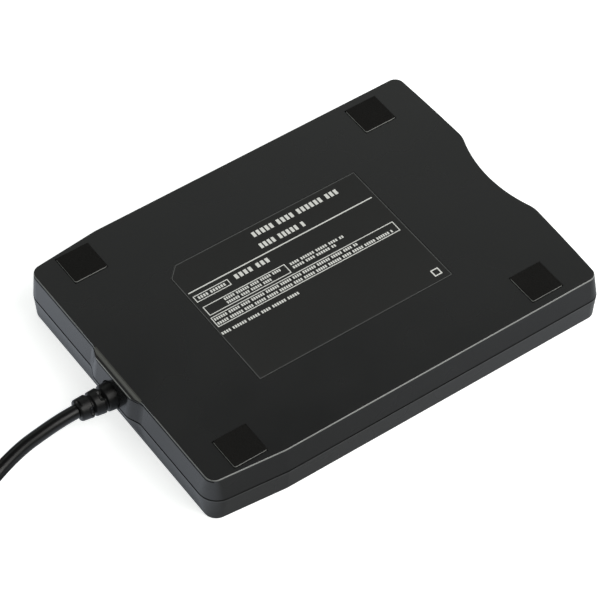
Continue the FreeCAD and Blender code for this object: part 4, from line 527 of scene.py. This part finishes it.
@dataclass
class Lead:
    """The visible lead, its put-away coil and tail, and what sits on it. Sizes in millimetres."""

    diameter: float = 4.5
    coil_x: float = 8.2
    coil_y: float = 162.0
    inner_radius: float = 22.25
    outer_radius: float = 26.75
    level: float = 2.35
    layer: float = 4.55
    step: float = 22.5
    turns_angle: float = 1252.0
    tie_lift: float = 0.55
    tie_angle: float = 90.0
    tie_spread: float = 45.0
    turn_in: tuple = (285, 350)
    climb: tuple = (585, 650)
    turn_out: tuple = (892, 950)
    leave: tuple = (1205, 1265)
    leave_width: float = 2.6
    entry_angle: float = 184.7
    start: tuple = ((0.19, 85.12, 11.2), (0.3, 90.0, 10.95), (0.1, 98.0, 9.75), (-0.2, 105.5, 8.25),
                    (-2.45, 116.5, 5.3), (-8.2, 130.0, 2.75), (-14.6, 143.5, 2.35),
                    (-18.2, 153.5, 2.35))
    tail: tuple = ((36.9, 151.0, 5.6), (39.6, 138.5, 3.2), (46.6, 128.0, 4.1), (57.0, 121.0, 4.1))
    relief_root: float = 4.6
    relief_tip: float = 3.5
    relief_length: float = 12.9
    relief_start: float = 72.22
    relief_z: float = 10.4
    relief_rise: float = 0.8
    relief_shift: float = 0.15
    relief_cut: float = 0.75
    relief_grooves: tuple = ((4.25, -0.5), (8.35, 0.5))
    relief_seat: float = 1.6
    tip_round: float = 0.7
    strap_thick: float = 0.6
    strap_corner: float = 2.3
    strap_points: int = 9
    grip_size: tuple = (16.0, 24.0, 8.2)
    grip_neck: float = 9.0
    grip_edge: float = 0.8
    neck_grooves: tuple = (2.2, 4.2, 6.2)
    ribs: int = 5
    rib_pitch: float = 1.7
    rib_first: float = 6.5

    def coil(self) -> np.ndarray:
        """The put-away turns: outer and inner column on the table, then inner and outer on top.

        The radius and the height are smooth steps of the angle turned, clockwise from the entry. The
        points stand outside the turns, as the curve of these points runs inside their corners.

        Returns:
            Points as n by 3.
        """
        turned = np.arange(0.0, self.turns_angle, self.step)

        def rise(angles: tuple) -> np.ndarray:
            """A smooth step from 0 to 1 between two angles."""
            return eased((turned - angles[0]) / (angles[1] - angles[0]))

        width = self.outer_radius - self.inner_radius
        radius = (self.outer_radius - width * rise(self.turn_in) + width * rise(self.turn_out)
                  + self.leave_width * rise(self.leave))
        height = self.level + self.layer * rise(self.climb)
        near_tie = (turned - self.tie_angle + 180) % 360 - 180
        height += self.tie_lift * np.exp(-(near_tie / self.tie_spread) ** 2) * (1 - rise(self.climb))
        radius /= 0.75 + 0.25 * math.cos(math.radians(self.step))
        angle = np.radians(self.entry_angle - turned)
        return np.stack([self.coil_x + radius * np.cos(angle), self.coil_y + radius * np.sin(angle),
                         height], -1)

    def cord(self) -> Object:
        """The lead from the sleeve to the plug, one smooth line with a round section.

        Returns:
            The curve object.
        """
        points = np.concatenate([self.start, self.coil(), self.tail]) * MM
        curve = bpy.data.curves.new("lead", "CURVE")
        curve.dimensions = "3D"
        curve.resolution_u = 8
        curve.bevel_depth = self.diameter / 2 * MM
        curve.bevel_resolution = 5
        line = curve.splines.new("NURBS")
        line.points.add(len(points) - 1)
        line.points.foreach_set("co", np.hstack([points, np.ones((len(points), 1))]).ravel())
        line.order_u = 3
        line.use_endpoint_u = True
        piece = bpy.data.objects.new("lead", curve)
        bpy.context.scene.collection.objects.link(piece)
        return piece

    def sleeve(self) -> Object:
        """The strain relief: a tapered sleeve cut by ring grooves and staggered windows.

        The radius is a straight taper along the axis, less a groove depth where the axis place lies in
        a groove, and less a window depth where the angle lies in one of that groove's two windows. The
        axis rises a little towards the tip.

        Returns:
            The object.
        """
        along = np.sort(np.append(np.linspace(-self.relief_seat, self.relief_length, 150), 0.0))
        around = np.linspace(0, 2 * math.pi, 96, endpoint=False)
        s, a = np.meshgrid(along, around, indexing="ij")
        share = np.clip(s / self.relief_length, 0, 1)
        radius = self.relief_root + (self.relief_tip - self.relief_root) * share
        soft, edge = 0.07, 0.03
        for centre, turn in self.relief_grooves:
            radius = radius - self.relief_cut * within(s - centre, 0.4, soft)
            window = within(np.sin(a - 0.75 * math.pi - turn), 0.34, edge)
            radius = radius - self.relief_cut * within(s - centre - 0.75, 0.75, soft) * window
        notch = within(np.cos(a), 0.3, edge)
        radius = radius - 0.9 * within(s - self.relief_length, 1.1, soft) * notch
        tip = np.clip((s - self.relief_length + self.tip_round) / self.tip_round, 0, 1)
        radius = radius - (1 - np.sqrt(1 - 0.999 * tip ** 2)) * 0.55
        axis_z = self.relief_z + self.relief_rise * share ** 1.6
        rings = np.stack([radius * np.cos(a) + self.relief_shift * share, self.relief_start + s,
                          axis_z + radius * np.sin(a)], -1)
        hole = rings[-1:].copy()
        centre = np.array([self.relief_shift, self.relief_start + self.relief_length,
                           self.relief_z + self.relief_rise])
        hole = centre + (hole - centre) * (self.diameter / 2 / np.linalg.norm(hole - centre, axis=-1,
                                                                                keepdims=True))
        return lofted("relief_sleeve", np.concatenate([rings, hole]), sharp=60)

    def strap(self) -> Object:
        """The woven strap round the coil, closed on itself with its free end on top.

        The path is a rectangle with round corners in the YZ plane. It starts on the top, goes once
        round the coil and runs on over its own start, one thickness further out. The section is a thin
        strip with rounded edges.

        Returns:
            The object.
        """
        low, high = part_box("cord_tie")
        x0, y0, z0 = (v / MM for v in low)
        x1, y1, z1 = (v / MM for v in high)
        half = (np.array([y1 - y0, z1 - z0]) - self.strap_thick) / 2
        centre = np.array([(y0 + y1) / 2, (z0 + z1) / 2])
        count, right = self.strap_points, math.pi / 2
        turn = np.concatenate([np.linspace(q * right, (q + 1) * right, count) for q in (1, 2, 3, 4, 1)])
        quarter = np.repeat([1, 2, 3, 0, 1], count) * right + math.pi / 4
        corner = np.sign(np.stack([np.cos(quarter), np.sin(quarter)], -1)) * (half - self.strap_corner)
        out = np.stack([np.cos(turn), np.sin(turn)], -1)
        lap = np.clip((np.arange(len(turn)) - (4 * count - 3)) / 5, 0, 1)[:, None]
        line = centre + corner + out * (self.strap_corner + lap * (self.strap_thick + 0.1))
        edge = np.linspace(0, 2 * math.pi, 24, endpoint=False)
        across = np.sign(np.cos(edge)) * np.abs(np.cos(edge)) ** 0.3 * (x1 - x0) / 2
        through = np.sign(np.sin(edge)) * np.abs(np.sin(edge)) ** 0.6 * self.strap_thick / 2
        rings = np.zeros((len(turn), len(edge), 3))
        rings[..., 0] = (x0 + x1) / 2 + across
        rings[..., 1:] = line[:, None] + out[:, None] * through[None, :, None]
        piece = lofted("coil_strap", rings, flip=True)
        dress(piece, STRAP)
        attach(piece, "case")
        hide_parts("cord_tie")
        return piece

    def grip(self) -> Object:
        """The moulded grip of the plug: a round neck that swells to a soft box with finger ribs.

        Each ring is a superellipse, x = a |cos t|^(2/n), z = b |sin t|^(2/n). Its half sizes a and b and
        its power n grow smoothly along the grip, and b loses a shallow groove at each rib.

        Returns:
            The object.
        """
        wide, long, high = self.grip_size
        end = self.grip_neck + long
        s = np.linspace(0, end, 220)
        swell = eased((s - self.grip_neck + 1.5) / 3.5)
        neck = self.diameter / 2 + 0.7 + 0.1 * s
        for place in self.neck_grooves:
            neck = neck - 0.5 * within(s - place, 0.35, 0.08)
        close = (np.sqrt(1 - np.clip((s - end + 1.2) / 1.2, 0, 0.999) ** 2) - 1) * self.grip_edge
        a = neck + (wide / 2 + close - neck) * swell
        b = neck + (high / 2 + close - neck) * swell
        for place in np.arange(self.ribs) * self.rib_pitch + self.grip_neck + self.rib_first:
            b = b - 0.3 * within(s - place, 0.45, 0.1)
        power = 2 + 3.0 * swell
        angle = np.linspace(0, 2 * math.pi, 96, endpoint=False)
        cosine, sine = np.cos(angle)[None, :], np.sin(angle)[None, :]
        exponent = (2 / power)[:, None]
        local = np.stack([a[:, None] * np.sign(cosine) * np.abs(cosine) ** exponent,
                          np.repeat(s[:, None], len(angle), 1),
                          b[:, None] * np.sign(sine) * np.abs(sine) ** exponent], -1)
        before, last = np.array(self.tail[-2]), np.array(self.tail[-1])
        along = (last - before) / np.linalg.norm(last - before)
        side = np.array([along[1], -along[0], 0.0])
        rings = last + local[..., :1] * side + local[..., 1:2] * along + local[..., 2:] * [0, 0, 1]
        piece = lofted("plug_grip", rings, sharp=50)
        dress(piece, RELIEF_PVC)
        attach(piece, "case")
        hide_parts("usb_plug_grip")
        return piece

    def build(self) -> Object:
        """Makes the lead and its pieces.

        Returns:
            The lead's curve.
        """
        cord = self.cord()
        dress(cord, CORD_PVC)
        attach(cord, "case")
        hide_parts("usb_cord", "cord_coil", "cord_tail")
        sleeve = self.sleeve()
        dress(sleeve, RELIEF_PVC)
        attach(sleeve, "case")
        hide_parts("strain_relief")
        self.strap()
        self.grip()
        return cord


# --- the underside's print and feet ---

@dataclass
class LabelPrint:
    """White print on the label film: a rule, frames and rows of plain blocks. Millimetres.

    rows and frames list what row() and frame() take.
    """

    lift: float = 0.03
    sink: float = 0.01
    rule: float = 0.42
    thin: float = 0.3
    border_line: float = 0.22
    border_inset: float = 0.12
    corner: float = 4.0
    block_share: float = 0.66
    group_gap: float = 0.7
    rule_at: float = 14.0
    rule_ends: tuple = (-33.15, 35.75)
    rows: tuple = (
        (22.4, 6.3, -27.7, 2.1, 1.62, (5, 4, 6)), (17.3, 7.0, -11.5, 2.1, 1.5, (4, 5)),
        (10.85, 34.2, 23.6, 1.1, 0.95, (4, 6)), (11.4, 20.4, 5.6, 1.9, 1.7, (4, 3)),
        (5.95, 28.0, 6.5, 1.0, 0.78, (5, 6, 4)), (4.35, 28.0, 11.0, 1.0, 0.78, (6, 4, 5)),
        (5.95, 3.6, -17.0, 1.0, 0.85, (4, 6, 5)), (4.35, 3.6, -13.0, 1.0, 0.85, (5, 4, 6)),
        (0.95, 35.0, -19.0, 1.05, 0.8, (6, 5, 4, 6)), (-0.95, 35.0, -30.6, 1.05, 0.8, (5, 6, 4, 5)),
        (-4.9, 36.2, 7.5, 1.05, 0.85, (4, 6, 5)))
    frames: tuple = ((9.5, 12.2, 22.75, 35.45), (3.0, 7.1, 5.05, 35.25), (-2.2, 2.2, -32.45, 35.65))
    square: tuple = (-23.7, -20.9, -32.65, -29.85)

    def row(self, x: float, start: float, end: float, height: float, advance: float,
            sizes: tuple[int, ...]) -> list:
        """A row of plain blocks of one height, in groups.

        Args:
            x: the row's middle.
            start: the y where it starts.
            end: the y where it ends, below start.
            height: of the blocks.
            advance: from one block to the next.
            sizes: how many blocks each group has; the groups repeat to the row's end.

        Returns:
            Rectangles as x0, x1, y0, y1.
        """
        made, y, group = [], start, 0
        while y - advance > end:
            for _ in range(sizes[group % len(sizes)]):
                if y - advance <= end:
                    break
                made.append((x - height / 2, x + height / 2, y - advance * self.block_share, y))
                y -= advance
            y -= advance * self.group_gap
            group += 1
        return made

    def frame(self, x0: float, x1: float, y0: float, y1: float, line: float) -> list:
        """Four bars round a box.

        Args:
            x0: low x.
            x1: high x.
            y0: low y.
            y1: high y.
            line: the bars' width.

        Returns:
            Rectangles as x0, x1, y0, y1.
        """
        return [(x0, x0 + line, y0, y1), (x1 - line, x1, y0, y1), (x0 + line, x1 - line, y0, y0 + line),
                (x0 + line, x1 - line, y1 - line, y1)]

    def slabs(self, name: str, boxes: list, finish: Finish) -> Object:
        """Thin slabs of ink on the film, all in one piece.

        Args:
            name: the piece's name.
            boxes: rectangles as x0, x1, y0, y1.
            finish: the ink.

        Returns:
            The object.
        """
        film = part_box("label_plate")[1].z / MM
        x0, x1, y0, y1 = np.array(boxes, float).T
        corners = np.stack([np.stack([x, y, np.full(len(x), z)], -1)
                            for z in (film - self.sink, film + self.lift)
                            for x, y in ((x0, y0), (x1, y0), (x1, y1), (x0, y1))], 1)
        sides = np.array([(0, 3, 2, 1), (4, 5, 6, 7), (0, 1, 5, 4), (1, 2, 6, 5), (2, 3, 7, 6),
                          (3, 0, 4, 7)])
        faces = (np.arange(len(boxes))[:, None, None] * 8 + sides).reshape(-1, 4)
        piece = mesh_piece(name, corners.reshape(-1, 3), faces.tolist(), smooth=False)
        dress(piece, finish)
        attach(piece, "case")
        return piece

    def border(self) -> Object:
        """The thin line round the film, with the film's cut corner.

        The line runs between the outline and the same outline drawn in by its width.

        Returns:
            The object.
        """
        low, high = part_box("label_plate")
        x0, y0, x1, y1 = low.x / MM, low.y / MM, high.x / MM, high.y / MM
        film = high.z / MM
        loops = []
        for inset in (self.border_inset, self.border_inset + self.border_line):
            cut = self.corner - inset * (2 - math.sqrt(2))
            loops.append([(x0 + inset, y0 + inset), (x1 - inset, y0 + inset),
                          (x1 - inset, y1 - inset - cut), (x1 - inset - cut, y1 - inset),
                          (x0 + inset, y1 - inset)])
        outer, inner = np.array(loops)
        low, high = film - self.sink, film + self.lift
        rings = np.stack([np.column_stack([loop, np.full(len(loop), z)]) for loop, z in (
            (outer, low), (outer, high), (inner, high), (inner, low))])
        faces = grid_faces(*rings.shape[:2], round_rows=True)
        piece = mesh_piece("label_border", rings.reshape(-1, 3), faces, smooth=False)
        dress(piece, BORDER_INK)
        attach(piece, "case")
        return piece

    def build(self) -> int:
        """Prints the label.

        Returns:
            The number of pieces made.
        """
        boxes = [(self.rule_at - self.rule / 2, self.rule_at + self.rule / 2, *self.rule_ends)]
        for row in self.rows:
            boxes += self.row(*row)
        for frame in self.frames:
            boxes += self.frame(*frame, self.thin)
        boxes += self.frame(*self.square, self.rule)
        self.slabs("label_print", boxes, INK)
        self.border()
        return 2


@dataclass
class Feet:
    """Four square pads of sponge rubber in the pockets of the underside. Millimetres."""

    width: float = 11.5
    corner: float = 0.7
    edge: float = 0.22
    crown: float = 0.06

    def pad(self, number: int, x: float, y: float, low: float, high: float) -> Object:
        """One pad: upright sides, a small round edge and a slightly crowned top.

        The rings go up the side, round the edge by a quarter turn and in over the top, each a square
        with round corners. The crown is the cosine of the way in.

        Args:
            number: the pad's number.
            x: its middle.
            y: its middle.
            low: the height of its seat.
            high: the height of its top.

        Returns:
            The object.
        """
        side = np.linspace(low, high - self.edge - self.crown, 4)
        turn = np.linspace(0, math.pi / 2, 6)[1:]
        into = np.linspace(0, 1, 9)[1:-1]
        half = self.width / 2
        halves = np.concatenate([np.full(len(side), half), half - self.edge * (1 - np.cos(turn)),
                                 (half - self.edge) * (1 - into)])
        heights = np.concatenate([side, side[-1] + self.edge * np.sin(turn),
                                  high - self.crown * np.cos(into * math.pi / 2)])
        rings = []
        for h, z in zip(halves, heights):
            square = rounded_square(h, min(self.corner, 0.9 * h)) + [x, y]
            rings.append(np.column_stack([square, np.full(len(square), z)]))
        piece = lofted(f"foot_pad_{number}", np.stack(rings), sharp=50)
        dress(piece, SPONGE)
        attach(piece, "case")
        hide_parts("feet")
        return piece

    def build(self) -> int:
        """Makes the four pads where the solid feet are.

        Returns:
            The number of pads.
        """
        low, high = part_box("feet")
        half = self.width / 2
        places = [(x, y) for x in (low.x / MM + half, high.x / MM - half)
                  for y in (low.y / MM + half, high.y / MM - half)]
        for number, (x, y) in enumerate(places, 1):
            self.pad(number, x, y, low.z / MM, high.z / MM)
        return len(places)


# --- wound springs and the screw thread inside ---

@dataclass
class Springs:
    """The wound springs of the slider and the lever. Millimetres."""

    slider_wire: float = 0.4
    slider_turns: float = 26.0
    lever_wire: float = 0.35
    lever_turns: float = 2.25

    def slider(self) -> list[Object]:
        """The two extension springs, which stretch between the chassis and the slider.

        Returns:
            The two objects.
        """
        low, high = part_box("slider_springs")
        radius = (high.z - low.z) / 2 / MM
        made = []
        for name, x in (("slider_spring_left", low.x / MM + radius),
                        ("slider_spring_right", high.x / MM - radius)):
            z, y0, y1 = (low.z + high.z) / 2 / MM, low.y / MM, high.y / MM
            piece = helix(name, 1, (x, 0.0, z), radius - self.slider_wire / 2, self.slider_wire, (y0, y1),
                          self.slider_turns)
            dress(piece, SPRING_STEEL)
            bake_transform(piece)
            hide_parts("slider_springs")
            made.append(piece)
        return made

    def lever(self) -> Object:
        """The flat torsion spring round the lever's post.

        Returns:
            The object.
        """
        low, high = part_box("lever_spring")
        centre = ((low.x + high.x) / 2 / MM, (low.y + high.y) / 2 / MM, 0.0)
        half = self.lever_wire / 2
        radius = (high.x - low.x) / 2 / MM - half
        piece = helix("lever_torsion_spring", 2, centre, radius, self.lever_wire,
                      (low.z / MM + half, high.z / MM - half), self.lever_turns)
        dress(piece, SPRING_STEEL)
        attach(piece, "case")
        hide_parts("lever_spring")
        return piece

    def build(self) -> int:
        """Makes the springs.

        Returns:
            The number of springs.
        """
        self.lever()
        return len(self.slider()) + 1


@dataclass
class LeadScrew:
    """The stepper's screw with its helical thread. Millimetres."""

    pitch: float = 3.75
    starts: int = 3
    depth: float = 0.25
    plain: float = 2.0
    fade: float = 0.5
    crest: float = 2.2
    rings: int = 420
    columns: int = 48

    def build(self) -> Object:
        """Makes the screw: its radius falls by a rounded groove that turns with the place along it.

        The groove is a smooth wave of starts times the angle minus the place over the pitch, and it
        fades out at both ends.

        Returns:
            The object.
        """
        low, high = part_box("lead_screw")
        radius = (high.z - low.z) / 2 / MM
        x, z = (low.x + high.x) / 2 / MM, (low.z + high.z) / 2 / MM
        s = np.linspace(low.y / MM, high.y / MM, self.rings)[:, None]
        angle = np.linspace(0, 2 * math.pi, self.columns, endpoint=False)[None, :]
        wave = np.cos(self.starts * angle - 2 * math.pi * self.starts * s / self.pitch)
        fade = np.clip((s - s[0] - self.plain) / self.fade, 0, 1)
        fade = fade * np.clip((s[-1] - s - 2 * self.plain) / self.fade, 0, 1)
        r = radius - self.depth * fade * (0.5 + 0.5 * np.tanh(self.crest * wave))
        rings = np.stack([x + r * np.sin(angle), s + 0 * angle, z + r * np.cos(angle)], -1)
        piece = lofted("threaded_screw", rings, sharp=60)
        dress(piece, GROUND_STEEL)
        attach(piece, "lead_screw")
        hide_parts("lead_screw")
        return piece


# --- floor, lights and camera ---

@dataclass
class Studio:
    """A pale floor, soft lights and the camera. Sizes in metres."""

    azimuth: float = 234.923
    elevation: float = 49.848
    place: tuple = (-0.4887, 0.34725, 0.7153)
    lens: float = 180.118
    key_from: tuple = (-0.538, -0.371, 0.756)
    key_distance: float = 1.0
    key_size: float = 0.8
    key_watts: float = 7.0
    key_colour: str = "fffdfa"
    sky_colour: str = "f1f6f1"
    sky_low: float = 0.84
    sky_high: float = 0.0
    sky_span: tuple = (0.72, 0.8)
    horizon: float = 0.12
    horizon_span: tuple = (0.4, 0.62)
    table_half: float = 3.0
    table_drop: float = 2e-5
    table_colour: str = "ebedee"
    mirrored_far: str = "303234"
    mirrored_near: str = "b4b6b9"
    gleam_colour: str = "eaf2ff"
    lift: float = 0.66
    rear_lift: float = 0.72
    rear_from: float = 0.0665
    rear_fade: float = 0.012
    side_span: tuple = (0.0, 0.045)
    side_gain: tuple = (0.9, 1.3)
    front_lift: float = 0.14
    front_span: tuple = (0.03, -0.07)
    near_to: float = 0.092
    near_fade: float = 0.02

    def camera(self) -> Object:
        """The camera, level and turned to the drive.

        Returns:
            The camera object.
        """
        data = bpy.data.cameras.new("camera")
        data.lens = self.lens
        data.sensor_width = 36.0
        data.clip_start = 0.05
        data.clip_end = 20.0
        camera = bpy.data.objects.new("camera", data)
        bpy.context.scene.collection.objects.link(camera)
        a, e = math.radians(self.azimuth), math.radians(self.elevation)
        back = Vector((math.sin(a) * math.cos(e), -math.cos(a) * math.cos(e), math.sin(e)))
        camera.location = self.place
        camera.rotation_mode = "QUATERNION"
        camera.rotation_quaternion = (-back).to_track_quat("-Z", "Y")
        bpy.context.scene.camera = camera
        return camera

    def floor(self) -> Object:
        """The pale table top, white to the camera where the light reaches it. To glossy rays it shows
        painted
        reflections: a gleam and tones of its own.

        Returns:
            The floor object.
        """
        half, top = self.table_half / MM, -self.table_drop / MM
        corners = np.array([[-half, -half, top], [half, -half, top], [half, half, top], [-half, half, top]])
        floor = mesh_piece("floor", corners, [(0, 1, 2, 3)], smooth=False)
        made = bpy.data.materials.new("white_paper_floor")
        made.use_nodes = True
        tree = made.node_tree
        tree.nodes.clear()
        light = add(tree, "LightPath")
        mirror = light.outputs["Is Glossy Ray"]
        seen = add(tree, "Math", {0: light.outputs["Is Camera Ray"],
                                  1: light.outputs["Is Transmission Ray"]}, operation="MAXIMUM")
        lifted = add(tree, "Math", {0: seen.outputs[0], 1: self.lift}, operation="MULTIPLY")
        # painted reflections: to glossy rays the floor glows with a gleam just behind the drive, stronger
        # towards +X, and a faint one in front of it, and shows a painted tone, mirrored_near close by and
        # the dark mirrored_far further back than near_to
        place = add(tree, "SeparateXYZ", {0: add(tree, "TexCoord").outputs["Object"]})
        x, y = place.outputs["X"], place.outputs["Y"]
        behind = add(tree, "MapRange", {0: y, 1: self.rear_from, 2: self.rear_from + self.rear_fade,
                                        4: self.rear_lift})
        beside = add(tree, "MapRange", {0: x, 1: self.side_span[0], 2: self.side_span[1],
                                        3: self.side_gain[0], 4: self.side_gain[1]})
        rear = add(tree, "Math", {0: behind.outputs[0], 1: beside.outputs[0]}, operation="MULTIPLY")
        front = add(tree, "MapRange", {0: y, 1: self.front_span[0], 2: self.front_span[1],
                                       4: self.front_lift})
        near = add(tree, "MapRange", {0: y, 1: self.near_to + self.near_fade, 2: self.near_to})
        gleam = add(tree, "Math", {0: rear.outputs[0], 1: near.outputs[0]}, operation="MULTIPLY")
        gleam = add(tree, "Math", {0: gleam.outputs[0], 1: front.outputs[0]}, operation="ADD")
        mirrored = add(tree, "Math", {0: mirror, 1: gleam.outputs[0]}, operation="MULTIPLY")
        strength = add(tree, "Math", {0: lifted.outputs[0], 1: mirrored.outputs[0]}, operation="MAXIMUM")
        tint = add(tree, "Mix", {0: mirror, 6: linear("ffffff"), 7: linear(self.gleam_colour)},
                   data_type="RGBA")
        glow = add(tree, "Emission", {"Color": tint.outputs[2], "Strength": strength.outputs[0]})
        dark = add(tree, "Mix", {0: near.outputs[0], 6: linear(self.mirrored_far),
                                 7: linear(self.mirrored_near)}, data_type="RGBA")
        shade = add(tree, "Mix", {0: mirror, 6: linear(self.table_colour), 7: dark.outputs[2]},
                    data_type="RGBA")
        paper = add(tree, "BsdfDiffuse", {"Color": shade.outputs[2]})
        both = add(tree, "AddShader", {0: paper.outputs[0], 1: glow.outputs[0]})
        add(tree, "OutputMaterial", {"Surface": both.outputs[0]})
        floor.data.materials.append(made)
        return floor

    def lamps(self) -> None:
        """One large soft lamp over the front of the drive."""
        data = bpy.data.lights.new("key", "AREA")
        data.shape = "SQUARE"
        data.size = self.key_size
        data.energy = self.key_watts
        data.color = linear(self.key_colour)[:3]
        key = bpy.data.objects.new("key", data)
        bpy.context.scene.collection.objects.link(key)
        towards = Vector(self.key_from).normalized()
        key.location = towards * self.key_distance
        key.rotation_mode = "QUATERNION"
        key.rotation_quaternion = (-towards).to_track_quat("-Z", "Y")

    def sky_light(self) -> None:
        """The world: bright low down and dim overhead, and white where the camera sees it."""
        world = bpy.data.worlds.new("studio")
        bpy.context.scene.world = world
        world.use_nodes = True
        tree = world.node_tree
        tree.nodes.clear()
        light = add(tree, "LightPath")
        upward = add(tree, "SeparateXYZ", {0: add(tree, "TexCoord").outputs["Generated"]})
        level = add(tree, "MapRange", {0: upward.outputs["Z"], 1: self.sky_span[0], 2: self.sky_span[1],
                                       3: self.sky_low, 4: self.sky_high})
        # reflections find it dark near the horizon, as beyond the edges of a light tent
        low = add(tree, "MapRange", {0: upward.outputs["Z"], 1: self.horizon_span[0],
                                     2: self.horizon_span[1], 3: self.horizon})
        low = add(tree, "Mix", {0: light.outputs["Is Glossy Ray"], 2: 1.0, 3: low.outputs[0]})
        level = add(tree, "Math", {0: level.outputs[0], 1: low.outputs[0]}, operation="MULTIPLY")
        dim = add(tree, "Background", {"Color": linear(self.sky_colour), "Strength": level.outputs[0]})
        white = add(tree, "Background", {"Color": linear("ffffff")})
        mixed = add(tree, "MixShader", {0: light.outputs["Is Camera Ray"], 1: dim.outputs[0],
                                        2: white.outputs[0]})
        add(tree, "OutputWorld", {"Surface": mixed.outputs[0]})

    def build(self) -> None:
        """Makes the whole studio."""
        self.camera()
        self.floor()
        self.lamps()
        self.sky_light()
        bpy.context.scene.view_settings.view_transform = "Standard"


def main() -> None:
    """Builds the studio, dresses the solids and makes the finer pieces."""
    logging.basicConfig(level=logging.INFO, format="%(message)s")
    Studio().build()
    for name, finish in NODE_FINISH.items():
        dress(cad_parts[name], finish)
    LOG.info("dressed %d solids of %d", len(NODE_FINISH), len(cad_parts))
    lead = Lead().build()
    LOG.info("made %s with its sleeve, strap and grip", lead.name)
    LOG.info("printed the label in %d pieces", LabelPrint().build())
    LOG.info("made %d feet", Feet().build())
    LOG.info("wound %d springs", Springs().build())
    LOG.info("cut %s", LeadScrew().build().name)


if __name__ == "__main__":
    main()
